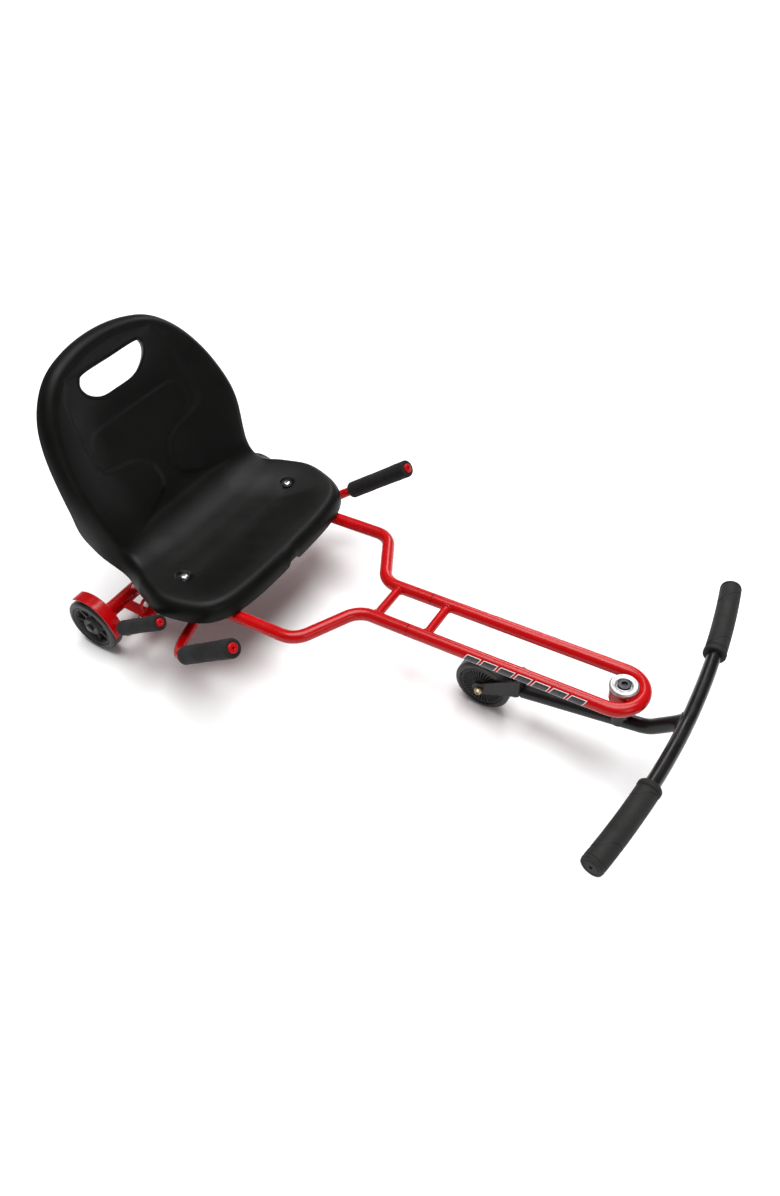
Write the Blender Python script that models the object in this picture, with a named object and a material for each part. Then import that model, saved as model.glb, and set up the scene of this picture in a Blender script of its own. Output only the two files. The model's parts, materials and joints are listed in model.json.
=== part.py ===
"""Foot-steered ride-on kart: seat, tube frame, telescoping front loop, steering arm, wheels and hand brake.

Metres, +Z up, forward is -Y, the rider's left is +X. The origin lies on the ground, in the plane of
symmetry, halfway along the kart.
"""
import math

import bmesh
import bpy
from mathutils import Matrix, Vector

# ---------------------------------------------------------------- driving dimensions
GAP = 0.0003                 # clearance between touching pieces
TUBE_R = 0.0100              # main frame tube, 20 mm outside
ARM_R = 0.0110               # steering arm tube
AXLE_TUBE_R = 0.0125         # rear axle tube
CROSS_R = 0.0070             # ladder tubes between the rails
HANDLE_R = 0.0080            # side handle tube
LEVER_R = 0.0065             # brake lever tube

HEAD_Y = -0.4005             # head tube axis in the rail plane
HEAD_Z = 0.1541              # rail plane height at the head tube
RAIL_SLOPE = math.radians(4.31)

FRONT_HALF = 0.0369          # half distance between the front rails
REAR_HALF = 0.1337           # half distance between the rear rails
NOSE_S = 0.0095              # centre of the loop's round nose, along the rails from the head tube
JOINT_S = 0.3170             # where the front loop meets the rear frame
CROSS_FRONT_S = 0.2893
CROSS_REAR_S = 0.3754
SPLAY_START_S = 0.4035
SPLAY_END_S = 0.4560
SPLAY_RADIUS = 0.0380

HEAD_TUBE_R = 0.0190
HEAD_TOP = 0.0085            # heights are measured from the rail plane, along the head axis
HEAD_BOTTOM = -0.0420
HEAD_BORE_R = 0.0150
KING_BOLT_R = 0.0050
BOSS_R = 0.0130
BOSS_TOP = -0.0440
BOSS_BOTTOM = -0.0610

SPIGOT_R = 0.0075
SPIGOT_BORE_R = 0.0055
SPIGOT_FRONT_S = 0.1700
SPIGOT_REAR_S = 0.3660
LOCK_S = 0.3000              # grub screws that pinch the spigots

WHEEL_HALF = 0.0120          # half width of every tyre
FRONT_WHEEL_R = 0.0449
FRONT_WHEEL_Y = HEAD_Y + 0.2024
REAR_WHEEL_R = 0.0476
REAR_WHEEL_Y = HEAD_Y + 0.7908
REAR_WHEEL_X = 0.2207
BEARING_R = 0.0110           # 608 bearing: 22 mm outside, 7 mm wide, on an 8 mm axle
BEARING_HALF = 0.0035
AXLE_R = 0.0039
AXLE_BORE_R = AXLE_R + GAP
HUB_HALF = 0.0115

BAR_HALF = 0.2615            # foot bar, measured to the tube's end
BAR_Y = HEAD_Y - 0.0908
BAR_Z = 0.1484
BAR_SWEEP = 0.0250
BAR_RISE = 0.0103
GRIP_START = 0.1255
GRIP_R = 0.0160
ARM_SLOPE = 0.224
FORK_FRONT = 0.1400          # front of the fork's bend, behind the head tube
FORK_INNER = 0.0140          # inside face of each fork plate
FORK_PLATE = 0.0030
FORK_EYE_R = 0.0125
FORK_LOW = 0.0610
FORK_HIGH = 0.0960

HANDLE_START = Vector((0.2271, HEAD_Y + 0.5887, 0.0966))
HANDLE_END = Vector((0.2340, HEAD_Y + 0.4800, 0.1846))
FOAM_R = 0.0145

BRAKE_PIVOT_Y = HEAD_Y + 0.7326
BRAKE_PIVOT_Z = 0.0464
BRAKE_LIFT = math.radians(6.0)    # how far the brake shoe stands open at rest
SHOE_GAP = 0.0010                 # distance from the tyre with the lever fully pulled
SHOE_THICK = 0.0025
LEVER_FOAM_R = 0.0120
LEVER_START = Vector((-0.2245, BRAKE_PIVOT_Y - 0.0060, 0.0745))
LEVER_END = Vector((-0.2270, BRAKE_PIVOT_Y - 0.1050, 0.1465))
SLEEVE_INNER_X = 0.1480
SLEEVE_OUTER_X = 0.1760

SEAT_FRONT_Y = HEAD_Y + 0.5480
SEAT_FRONT_Z = 0.1390
PAN_RISE = math.radians(1.2)
BACK_LEAN = math.radians(27.0)
PAN_LENGTH = 0.2110          # front edge to the corner of pan line and back line
BACK_LENGTH = 0.3180
FOLD_RADIUS = 0.0750
BACK_DISH = 0.0200           # how far the back's edges stand forward of its middle
TOP_CURL = 0.0160
SEAT_SKIN = 0.0040
SEAT_HALF = 0.2020           # widest half width
SEAT_BOLT_Y = HEAD_Y + 0.6600
RIM_WIDTH = 0.0200
RIM_HEIGHT = 0.0130
LIP_DROP = 0.0145
WAIST_DROP = 0.0220          # how much deeper the lip hangs beside the fold
WAIST_S = 0.2650
WAIST_SPREAD = 0.0480
# half width of the seat against distance from its front edge
SEAT_OUTLINE = [(0.000, 0.000), (0.100, 0.003), (0.155, 0.016), (0.186, 0.046), (SEAT_HALF, 0.105), (0.188, 0.155),
                (0.170, 0.196), (0.175, 0.240), (0.186, 0.300), (0.186, 0.350), (0.172, 0.412), (0.147, 0.460),
                (0.108, 0.496), (0.058, 0.514), (0.000, 0.5200)]
# the carrying hole's half outline, in the same two measures
HAND_SLOT = [(0.000, 0.475), (0.056, 0.475), (0.064, 0.468), (0.064, 0.458), (0.054, 0.440), (0.038, 0.430),
             (0.000, 0.428)]


TUBE_SIDES = 14


# ---------------------------------------------------------------- scene and materials
def clear_scene():
    for existing in list(bpy.data.objects):
        bpy.data.objects.remove(existing, do_unlink=True)


def make_material(name, colour, roughness, metallic=0.0):
    material = bpy.data.materials.new(name)
    material.use_nodes = True
    shader = material.node_tree.nodes["Principled BSDF"]
    shader.inputs["Base Color"].default_value = (*colour, 1.0)
    shader.inputs["Roughness"].default_value = roughness
    shader.inputs["Metallic"].default_value = metallic
    material.diffuse_color = (*colour, 1.0)
    return material


def finish_object(name, bm, material, cutter=False):
    """Turn a bmesh into a named, smooth-shaded object with outward faces."""
    bmesh.ops.recalc_face_normals(bm, faces=bm.faces)
    mesh = bpy.data.meshes.new(name)
    bm.to_mesh(mesh)
    bm.free()
    mesh.shade_smooth()
    mesh.set_sharp_from_angle(angle=math.radians(35))
    piece = bpy.data.objects.new(name, mesh)
    bpy.context.scene.collection.objects.link(piece)
    if cutter:
        piece.hide_render = True
        piece.display_type = "WIRE"
    else:
        mesh.materials.append(material)
    return piece


def boolean(target, tool, operation):
    modifier = target.modifiers.new(operation.title() + "_" + tool.name, "BOOLEAN")
    modifier.object = tool
    modifier.operation = operation
    modifier.solver = "EXACT"


def make_pivot(name, location):
    empty = bpy.data.objects.new(name, None)
    empty.location = location
    bpy.context.scene.collection.objects.link(empty)
    return empty


def attach(empty, pieces):
    for piece in pieces:
        piece.parent = empty
        piece.matrix_parent_inverse = Matrix.Translation(empty.location).inverted()


# ---------------------------------------------------------------- shapes
def rail_point(x, s, lift=0.0):
    """A point s behind the head tube along the rails, lift above the rail plane."""
    y = HEAD_Y + s * math.cos(RAIL_SLOPE) + lift * math.sin(RAIL_SLOPE)
    z = HEAD_Z - s * math.sin(RAIL_SLOPE) + lift * math.cos(RAIL_SLOPE)
    return Vector((x, y, z))


HEAD_AXIS = Vector((0.0, math.sin(RAIL_SLOPE), math.cos(RAIL_SLOPE)))
RAIL_AXIS = Vector((0.0, math.cos(RAIL_SLOPE), -math.sin(RAIL_SLOPE)))
LEFTWARD = Vector((1.0, 0.0, 0.0))


def fillet_path(corners, radius, steps=4):
    """The corner points with each inner corner replaced by an arc of the given radius."""
    path = [corners[0].copy()]
    for before, corner, after in zip(corners, corners[1:], corners[2:]):
        inward = (before - corner).normalized()
        outward = (after - corner).normalized()
        turn = math.pi - inward.angle(outward)
        reach = radius * math.tan(turn / 2)
        reach = min(reach, 0.49 * (before - corner).length, 0.49 * (after - corner).length)
        true_radius = reach / math.tan(turn / 2)
        start = corner + inward * reach
        bisector = (inward + outward).normalized()
        centre = corner + bisector * (true_radius / math.cos(turn / 2))
        axis = (start - centre).cross(corner + outward * reach - centre).normalized()
        for step in range(steps + 1):
            spin = Matrix.Rotation(turn * step / steps, 3, axis)
            path.append(centre + spin @ (start - centre))
    path.append(corners[-1].copy())
    return path


def sweep_tube(path, radius, sides=TUBE_SIDES):
    """A closed solid round bar along a path; radius may be a number or one value per point."""
    bm = bmesh.new()
    radii = radius if isinstance(radius, list) else [radius] * len(path)
    tangent = (path[1] - path[0]).normalized()
    side = tangent.orthogonal().normalized()
    rings = []
    for index, point in enumerate(path):
        before = path[max(index - 1, 0)]
        after = path[min(index + 1, len(path) - 1)]
        incoming = (point - before).normalized() if index else (after - point).normalized()
        outgoing = (after - point).normalized() if index < len(path) - 1 else incoming
        new_tangent = (incoming + outgoing).normalized()
        side = tangent.rotation_difference(new_tangent) @ side
        tangent = new_tangent
        other = tangent.cross(side)
        ring = []
        for step in range(sides):
            angle = 2 * math.pi * step / sides
            offset = side * math.cos(angle) + other * math.sin(angle)
            ring.append(bm.verts.new(point + offset * radii[index]))
        rings.append(ring)
    for ring, following in zip(rings, rings[1:]):
        for step in range(sides):
            after = (step + 1) % sides
            bm.faces.new((ring[step], ring[after], following[after], following[step]))
    bm.faces.new(rings[0])
    bm.faces.new(rings[-1])
    return bm


def lathe(profile, sides=20):
    """Turn a closed (radius, height) outline about local Z; radius 0 points close on the axis."""
    bm = bmesh.new()
    rings = []
    for radius, height in profile:
        if radius == 0:
            rings.append([bm.verts.new((0, 0, height))])
            continue
        ring = []
        for step in range(sides):
            angle = 2 * math.pi * step / sides
            ring.append(bm.verts.new((radius * math.cos(angle), radius * math.sin(angle), height)))
        rings.append(ring)
    for index, ring in enumerate(rings):
        following = rings[(index + 1) % len(rings)]
        if len(ring) == 1 and len(following) == 1:
            continue
        for step in range(sides):
            after = (step + 1) % sides
            corners = [ring[step % len(ring)], ring[after % len(ring)]]
            corners += [following[after % len(following)], following[step % len(following)]]
            unique = list(dict.fromkeys(corners))
            bm.faces.new(unique)
    return bm


def turned(name, profile, centre, axis, material, sides=20, cutter=False):
    """A lathe piece whose local Z points along axis from centre."""
    piece = finish_object(name, lathe(profile, sides), material, cutter)
    piece.location = centre
    piece.rotation_mode = "QUATERNION"
    piece.rotation_quaternion = axis.to_track_quat("Z", "Y")
    return piece


def ring_profile(inner, outer, low, high):
    return [(inner, low), (outer, low), (outer, high), (inner, high)]


def hex_bore(radius):
    """Corner radius of a six-sided bore that clears a round shaft."""
    return (radius + GAP) / math.cos(math.pi / 6)


def rod_profile(radius, low, high):
    return [(0, low), (radius, low), (radius, high), (0, high)]


def cutter_rod(name, radius, start, end, sides=TUBE_SIDES):
    length = (end - start).length
    return turned(name, rod_profile(radius, 0, length), start, end - start, None, sides, cutter=True)


def hex_bolt_profile(shank_r, shank_length, head_r, head_height):
    """Shank along +Z from 0, head below 0."""
    return [(0, -head_height), (head_r * 0.8, -head_height), (head_r, -head_height * 0.6), (head_r, 0),
            (shank_r, 0), (shank_r, shank_length), (0, shank_length)]


# ---------------------------------------------------------------- rear frame
def rear_rail_path(side):
    corners = [
        rail_point(side * FRONT_HALF, JOINT_S + GAP),
        rail_point(side * FRONT_HALF, SPLAY_START_S),
        rail_point(side * REAR_HALF, SPLAY_END_S),
        rail_point(side * REAR_HALF, 0.7350),
        Vector((side * REAR_HALF, REAR_WHEEL_Y, REAR_WHEEL_R)),
    ]
    return fillet_path(corners, SPLAY_RADIUS)


def build_rear_frame(paint):
    left_rail = finish_object("rear_frame", sweep_tube(rear_rail_path(1), TUBE_R), paint)
    right_rail = finish_object("tool_right_rail", sweep_tube(rear_rail_path(-1), TUBE_R), None, cutter=True)
    boolean(left_rail, cross_tube("tool_rear_cross", CROSS_REAR_S, FRONT_HALF, CROSS_R), "UNION")
    boolean(left_rail, right_rail, "UNION")
    boolean(left_rail, cross_tube("tool_seat_cross", 0.7100, REAR_HALF, CROSS_R), "UNION")
    tube_end = REAR_WHEEL_X - HUB_HALF - 0.0020
    axle_start = Vector((-tube_end, REAR_WHEEL_Y, REAR_WHEEL_R))
    axle_end = Vector((tube_end, REAR_WHEEL_Y, REAR_WHEEL_R))
    boolean(left_rail, cutter_rod("tool_axle_tube", AXLE_TUBE_R, axle_start, axle_end), "UNION")
    for side in (-1, 1):
        outer = Vector((side * (tube_end + 0.01), REAR_WHEEL_Y, REAR_WHEEL_R))
        inner = Vector((side * (tube_end - 0.04), REAR_WHEEL_Y, REAR_WHEEL_R))
        boolean(left_rail, cutter_rod(f"tool_axle_bore_{side}", AXLE_BORE_R, inner, outer), "DIFFERENCE")
        front = rail_point(side * FRONT_HALF, JOINT_S - 0.01)
        rear = rail_point(side * FRONT_HALF, SPIGOT_REAR_S + 0.002)
        boolean(left_rail, cutter_rod(f"tool_stub_bore_{side}", SPIGOT_R + GAP, front, rear), "DIFFERENCE")
    return left_rail


def cross_tube(name, s, half, radius):
    return cutter_rod(name, radius, rail_point(-half, s), rail_point(half, s))


def build_spigots(steel):
    length = SPIGOT_REAR_S - SPIGOT_FRONT_S
    profile = ring_profile(SPIGOT_BORE_R, SPIGOT_R, 0, length)
    pieces = []
    for side, word in ((1, "left"), (-1, "right")):
        start = rail_point(side * FRONT_HALF, SPIGOT_FRONT_S)
        pieces.append(turned(f"spigot_{word}", profile, start, RAIL_AXIS, steel, TUBE_SIDES))
    return pieces


def handle_corners(side):
    along = (HANDLE_END - HANDLE_START).normalized()
    elbow = HANDLE_START - along * 0.0400
    tip = HANDLE_END - along * 0.0030
    flip = Vector((side, 1, 1))
    inner = Vector((0.150, elbow.y + 0.012, 0.0875))
    return [inner * flip, elbow * flip, tip * flip]


def build_handle_bar(paint):
    """One tube that crosses under both rails and turns forward and up into a handle at each end."""
    left = handle_corners(1)
    right = handle_corners(-1)
    path = fillet_path(right[::-1] + left, 0.035)
    return finish_object("handle_bar", sweep_tube(path, HANDLE_R), paint)


def build_handle_ends(foam, paint):
    pieces = []
    for side, word in ((1, "left"), (-1, "right")):
        flip = Vector((side, 1, 1))
        start = HANDLE_START * flip
        end = HANDLE_END * flip
        axis = end - start
        length = axis.length
        sleeve = ring_profile(HANDLE_R + GAP, FOAM_R, 0, length)
        pieces.append(turned(f"foam_grip_{word}", sleeve, start, axis, foam))
        plug = [(0.0020, length - 0.0020), (HANDLE_R - 0.0002, length - 0.0020),
                (HANDLE_R - 0.0002, length + 0.0005), (0.0060, length + 0.0025), (0.0020, length + 0.0025)]
        pieces.append(turned(f"handle_plug_{word}", plug, start, axis, paint))
    return pieces


# ---------------------------------------------------------------- seat
def seat_profile(s):
    """Centre line of the seat at distance s from its front edge: point and upward normal in Y, Z."""
    turn = math.pi / 2 - BACK_LEAN - PAN_RISE
    reach = FOLD_RADIUS * math.tan(turn / 2)
    pan_end = PAN_LENGTH - reach
    arc_length = FOLD_RADIUS * turn
    along = min(s, pan_end)
    y = SEAT_FRONT_Y + along * math.cos(PAN_RISE)
    z = SEAT_FRONT_Z + along * math.sin(PAN_RISE)
    angle = PAN_RISE + min(max(s - pan_end, 0.0), arc_length) / FOLD_RADIUS
    y += FOLD_RADIUS * (math.sin(angle) - math.sin(PAN_RISE))
    z += FOLD_RADIUS * (math.cos(PAN_RISE) - math.cos(angle))
    rest = max(s - pan_end - arc_length, 0.0)
    y += rest * math.cos(angle)
    z += rest * math.sin(angle)
    return y, z, -math.sin(angle), math.cos(angle)


def seat_length():
    turn = math.pi / 2 - BACK_LEAN - PAN_RISE
    return PAN_LENGTH + BACK_LENGTH - 2 * FOLD_RADIUS * math.tan(turn / 2) + FOLD_RADIUS * turn


def back_shape(x, s):
    """How far the back's surface stands forward of its straight line: a dish across it and a curl at its top."""
    blend = min(max((s - 0.200) / 0.120, 0.0), 1.0)
    dish = BACK_DISH * blend * blend * (3 - 2 * blend) * (x / SEAT_HALF) ** 2
    curl = TOP_CURL * (max(s - 0.424, 0.0) / 0.0960) ** 2
    return dish + curl


def seat_point(x, s, height):
    y, z, normal_y, normal_z = seat_profile(s)
    height += back_shape(x, s)
    return Vector((x, y + normal_y * height, z + normal_z * height))


def catmull(before, start, end, after, t):
    value = []
    for a, b, c, d in zip(before, start, end, after):
        value.append(0.5 * (2 * b + (c - a) * t + (2 * a - 5 * b + 4 * c - d) * t ** 2
                            + (3 * b - a - 3 * c + d) * t ** 3))
    return value


def seat_outline(per_span):
    """Points (x, s) round the whole outline, from the front centre along the left side."""
    mirrored_first = (-SEAT_OUTLINE[1][0], SEAT_OUTLINE[1][1])
    mirrored_last = (-SEAT_OUTLINE[-2][0], SEAT_OUTLINE[-2][1])
    knots = [mirrored_first] + SEAT_OUTLINE + [mirrored_last]
    half = []
    for index in range(1, len(knots) - 2):
        for step in range(per_span):
            half.append(catmull(*knots[index - 1:index + 3], step / per_span))
    half.append(list(SEAT_OUTLINE[-1]))
    return half + [[-x, s] for x, s in half[-2:0:-1]]


def inward_offset(outline, distance):
    """Move each outline point inward along its own normal."""
    moved = []
    count = len(outline)
    for index, (x, s) in enumerate(outline):
        ahead = outline[(index + 1) % count]
        behind = outline[index - 1]
        dx = ahead[0] - behind[0]
        ds = ahead[1] - behind[1]
        size = math.hypot(dx, ds)
        moved.append([x - ds / size * distance, s + dx / size * distance])
    return moved


def lip_drop(s):
    """Depth of the rolled lip below the seat's surface, greatest beside the fold."""
    return LIP_DROP + WAIST_DROP * math.exp(-((s - WAIST_S) / WAIST_SPREAD) ** 2)


def rim_height(distance, s):
    """Height of the top skin against the distance from the outline: rolled rim, ridge, then a shallow dish."""
    if distance < RIM_WIDTH:
        fall = 1 - distance / RIM_WIDTH
        drop = lip_drop(s)
        return -drop + (RIM_HEIGHT + drop) * math.sqrt(max(1 - fall * fall, 0.0))
    inside = min((distance - RIM_WIDTH) / 0.090, 1.0)
    return RIM_HEIGHT * (0.5 + 0.5 * math.cos(math.pi * inside))


def build_seat_skin(bm, per_span, rings, columns, drop, trim):
    """One skin of the seat. drop lowers it and trim moves its lip inward, for the underside."""
    outline = seat_outline(per_span)
    layers = []
    for distance in rings:
        inset = inward_offset(outline, distance + trim * max(1 - distance / RIM_WIDTH, 0.0))
        sink = drop * min(distance / 0.004, 1.0)
        layers.append([bm.verts.new(seat_point(x, s, rim_height(distance, s) - sink)) for x, s in inset])
    last_inset = inward_offset(outline, rings[-1])
    count = len(outline)
    for layer, inner in zip(layers, layers[1:]):
        for index in range(count):
            after = (index + 1) % count
            bm.faces.new((layer[index], layer[after], inner[after], inner[index]))
    fill_middle(bm, layers[-1], last_inset, rings[-1], columns, drop)
    return layers[0]


def fill_middle(bm, ring, inset, distance, columns, drop):
    """Rows of faces across the middle, from each point on the left to its mirror image on the right."""
    count = len(ring)
    half = count // 2
    rows = []
    for index in range(1, half):
        x, s = inset[index]
        row = [ring[index]]
        for column in range(1, columns):
            across = x * (1 - 2 * column / columns)
            inside = distance + (x - abs(across)) * 0.9
            row.append(bm.verts.new(seat_point(across, s, rim_height(inside, s) - drop)))
        row.append(ring[count - index])
        rows.append(row)
    for row, following in zip(rows, rows[1:]):
        for column in range(columns):
            bm.faces.new((row[column], row[column + 1], following[column + 1], following[column]))
    bm.faces.new([ring[0]] + rows[0])
    bm.faces.new([ring[half]] + rows[-1][::-1])


def build_seat(plastic):
    bm = bmesh.new()
    rings = [0.0, 0.002, 0.008, 0.020, 0.034]
    top = build_seat_skin(bm, 2, rings, 6, 0.0, 0.0)
    bottom = build_seat_skin(bm, 2, rings, 6, SEAT_SKIN, SEAT_SKIN)
    count = len(top)
    for index in range(count):
        after = (index + 1) % count
        bm.faces.new((top[index], top[after], bottom[after], bottom[index]))
    seat = finish_object("seat_shell", bm, plastic)
    boolean(seat, build_hand_slot_cutter(), "DIFFERENCE")
    for side in (-1, 1):
        low = Vector((side * REAR_HALF, SEAT_BOLT_Y, 0.10))
        high = Vector((side * REAR_HALF, SEAT_BOLT_Y, 0.20))
        boolean(seat, cutter_rod(f"tool_seat_hole_{side}", 0.0046, low, high), "DIFFERENCE")
    return seat


def build_hand_slot_cutter():
    """A prism through the back, in the shape of the carrying hole."""
    half = HAND_SLOT
    outline = half + [(-x, s) for x, s in half[-2:0:-1]]
    bm = bmesh.new()
    front = [bm.verts.new(seat_point(x, s, 0.03)) for x, s in outline]
    rear = [bm.verts.new(seat_point(x, s, -0.03)) for x, s in outline]
    count = len(outline)
    for index in range(count):
        after = (index + 1) % count
        bm.faces.new((front[index], front[after], rear[after], rear[index]))
    bm.faces.new(front)
    bm.faces.new(rear)
    return finish_object("tool_hand_slot", bm, None, cutter=True)


def build_seat_fixings(steel, paint):
    """Risers welded on the rails carry the seat; a bolt with a washer holds it down at each side."""
    along = (SEAT_BOLT_Y - HEAD_Y) / math.cos(RAIL_SLOPE)
    rail_top = rail_point(0, along).z + TUBE_R / math.cos(RAIL_SLOPE)
    s = (SEAT_BOLT_Y - SEAT_FRONT_Y) / math.cos(PAN_RISE)
    skin_top = seat_point(REAR_HALF, s, rim_height(0.9 * (SEAT_HALF - REAR_HALF), s)).z
    riser_top = skin_top - SEAT_SKIN - 0.0035
    pieces = []
    for side, word in ((1, "left"), (-1, "right")):
        centre = Vector((side * REAR_HALF, SEAT_BOLT_Y, 0))
        base = rail_top + 0.0012
        riser = [(0.0045, base), (0.0140, base), (0.0140, base + 0.003), (0.0085, base + 0.004),
                 (0.0085, riser_top), (0.0045, riser_top)]
        pieces.append(turned(f"seat_riser_{word}", riser, centre, Vector((0, 0, 1)), paint))
        head = skin_top + 0.0035
        bolt = [(0, head + 0.0040), (0.0045, head + 0.0036), (0.0070, head + 0.0018), (0.0070, head),
                (0.0040, head), (0.0040, base + 0.002), (0, base + 0.002)]
        pieces.append(turned(f"seat_bolt_{word}", bolt, centre, Vector((0, 0, 1)), steel))
        washer = ring_profile(0.0043, 0.0095, head - 0.0018, head - GAP)
        pieces.append(turned(f"seat_washer_{word}", washer, centre, Vector((0, 0, 1)), steel))
    return pieces


# ---------------------------------------------------------------- front loop and head
def build_front_loop(paint):
    """Round-nosed loop of tube with the head tube in its nose and one ladder tube near the joint."""
    path = [rail_point(FRONT_HALF, JOINT_S - GAP), rail_point(FRONT_HALF, 0.16)]
    steps = 12
    for step in range(steps + 1):
        angle = math.pi * step / steps
        path.append(rail_point(FRONT_HALF * math.cos(angle), NOSE_S - FRONT_HALF * math.sin(angle)))
    path += [rail_point(-FRONT_HALF, 0.16), rail_point(-FRONT_HALF, JOINT_S - GAP)]
    loop = finish_object("front_loop", sweep_tube(path, TUBE_R), paint)
    boolean(loop, cross_tube("tool_front_cross", CROSS_FRONT_S, FRONT_HALF, CROSS_R), "UNION")
    top = rail_point(0, 0, HEAD_TOP)
    bottom = rail_point(0, 0, HEAD_BOTTOM)
    boolean(loop, cutter_rod("tool_head_tube", HEAD_TUBE_R, bottom, top, 24), "UNION")
    above = rail_point(0, 0, HEAD_TOP + 0.01)
    below = rail_point(0, 0, HEAD_BOTTOM - 0.01)
    boolean(loop, cutter_rod("tool_head_bore", HEAD_BORE_R, below, above, 24), "DIFFERENCE")
    for side in (-1, 1):
        front = rail_point(side * FRONT_HALF, SPIGOT_FRONT_S - 0.095)
        rear = rail_point(side * FRONT_HALF, JOINT_S + 0.01)
        boolean(loop, cutter_rod(f"tool_loop_bore_{side}", SPIGOT_R + GAP, front, rear), "DIFFERENCE")
        screw_top = rail_point(side * FRONT_HALF, LOCK_S, 0)
        screw_low = rail_point(side * FRONT_HALF, LOCK_S, -0.03)
        boolean(loop, cutter_rod(f"tool_screw_hole_{side}", 0.0033, screw_low, screw_top), "DIFFERENCE")
    return loop


def build_lock_screws(steel):
    """Socket grub screws, flush with the underside of the loop's rear ends, that pinch the sliding spigots."""
    pieces = []
    for side, word in ((1, "left"), (-1, "right")):
        start = rail_point(side * FRONT_HALF, LOCK_S, -TUBE_R + GAP)
        length = TUBE_R - SPIGOT_R - 2 * GAP
        profile = [(0, 0.0010), (0.0014, 0.0010), (0.0014, 0), (0.0030, 0), (0.0030, length), (0, length)]
        pieces.append(turned(f"lock_screw_{word}", profile, start, HEAD_AXIS, steel, 12))
    return pieces


def build_headset(steel):
    pieces = []
    inner = KING_BOLT_R + GAP
    outer = HEAD_BORE_R - GAP
    profile = ring_profile(inner, outer, HEAD_TOP - 0.0085, HEAD_TOP - 0.0005)
    pieces.append(turned("head_bearing_upper", profile, rail_point(0, 0), HEAD_AXIS, steel))
    profile = ring_profile(inner, outer, HEAD_BOTTOM + 0.0005, HEAD_BOTTOM + 0.0085)
    pieces.append(turned("head_bearing_lower", profile, rail_point(0, 0), HEAD_AXIS, steel))
    return pieces


def build_head_cap(aluminium):
    """Dished cap on the head tube, with a recess for the bolt's head."""
    low = HEAD_TOP + GAP
    top = HEAD_TOP + 0.0065
    profile = [(KING_BOLT_R + GAP, low), (0.0195, low), (0.0203, low + 0.0010), (0.0203, low + 0.0040),
               (0.0180, top), (0.0108, top), (0.0102, top - 0.0008), (0.0102, low + 0.0022),
               (KING_BOLT_R + GAP, low + 0.0022)]
    return turned("head_cap", profile, rail_point(0, 0), HEAD_AXIS, aluminium, 24)


def build_king_bolt(black_steel):
    seat = HEAD_TOP + GAP + 0.0022 + GAP
    top = HEAD_TOP + 0.0075
    profile = [(0, top - 0.0030), (0.0035, top - 0.0030), (0.0035, top), (0.0080, top), (0.0092, top - 0.0012),
               (0.0092, seat), (KING_BOLT_R, seat), (KING_BOLT_R, BOSS_BOTTOM + 0.0010),
               (0, BOSS_BOTTOM + 0.0010)]
    bolt = turned("king_bolt", profile, rail_point(0, 0), HEAD_AXIS, black_steel)
    washer_profile = ring_profile(KING_BOLT_R + GAP, BOSS_R, BOSS_TOP + GAP, HEAD_BOTTOM - GAP)
    washer = turned("king_washer", washer_profile, rail_point(0, 0), HEAD_AXIS, black_steel)
    return [bolt, washer]


# ---------------------------------------------------------------- steering arm
def arm_height(y):
    """Height of the arm's straight run at a distance y behind the head tube."""
    return 0.0906 - ARM_SLOPE * (y - 0.0227)


def build_steering_arm(paint):
    """Tube from the fork, under the loop and up to the foot bar, with a boss for the king bolt."""
    fork_end = Vector((0, HEAD_Y + FORK_FRONT, arm_height(FORK_FRONT)))
    elbow = Vector((0, HEAD_Y - 0.0450, arm_height(-0.0450)))
    bar_end = Vector((0, BAR_Y + (TUBE_R + 0.004), BAR_Z - (TUBE_R + 0.004)))
    toward_bar = (bar_end - elbow).normalized()
    bar_end = Vector((0, BAR_Y, BAR_Z)) - toward_bar * (TUBE_R + 0.0008)
    arm = finish_object("steering_arm", sweep_tube(fillet_path([fork_end, elbow, bar_end], 0.040), ARM_R), paint)
    boss = cutter_rod("tool_boss", BOSS_R, rail_point(0, 0, BOSS_BOTTOM), rail_point(0, 0, BOSS_TOP), 24)
    boolean(arm, boss, "UNION")
    boolean(arm, build_fork_tool(), "UNION")
    king = cutter_rod("tool_king_bore", KING_BOLT_R + GAP, rail_point(0, 0, BOSS_BOTTOM - 0.01),
                      rail_point(0, 0, BOSS_TOP + 0.01))
    boolean(arm, king, "DIFFERENCE")
    axle_left = Vector((0.03, FRONT_WHEEL_Y, FRONT_WHEEL_R))
    axle_right = Vector((-0.03, FRONT_WHEEL_Y, FRONT_WHEEL_R))
    boolean(arm, cutter_rod("tool_front_axle_bore", AXLE_BORE_R, axle_right, axle_left), "DIFFERENCE")
    return arm


def fork_span(y):
    """Lowest and highest point of the fork plate at a distance y behind the head tube."""
    axle = FRONT_WHEEL_Y - HEAD_Y
    if y > axle:
        half = math.sqrt(max(FORK_EYE_R ** 2 - (y - axle) ** 2, 0.0025 ** 2))
        return FRONT_WHEEL_R - half, FRONT_WHEEL_R + half
    forward = min((axle - y) / (axle - 0.150), 1.0)
    low = FRONT_WHEEL_R - FORK_EYE_R + forward * (FORK_LOW - FRONT_WHEEL_R + FORK_EYE_R)
    high = FRONT_WHEEL_R + FORK_EYE_R + forward * (FORK_HIGH - FRONT_WHEEL_R - FORK_EYE_R)
    return low, high


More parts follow.
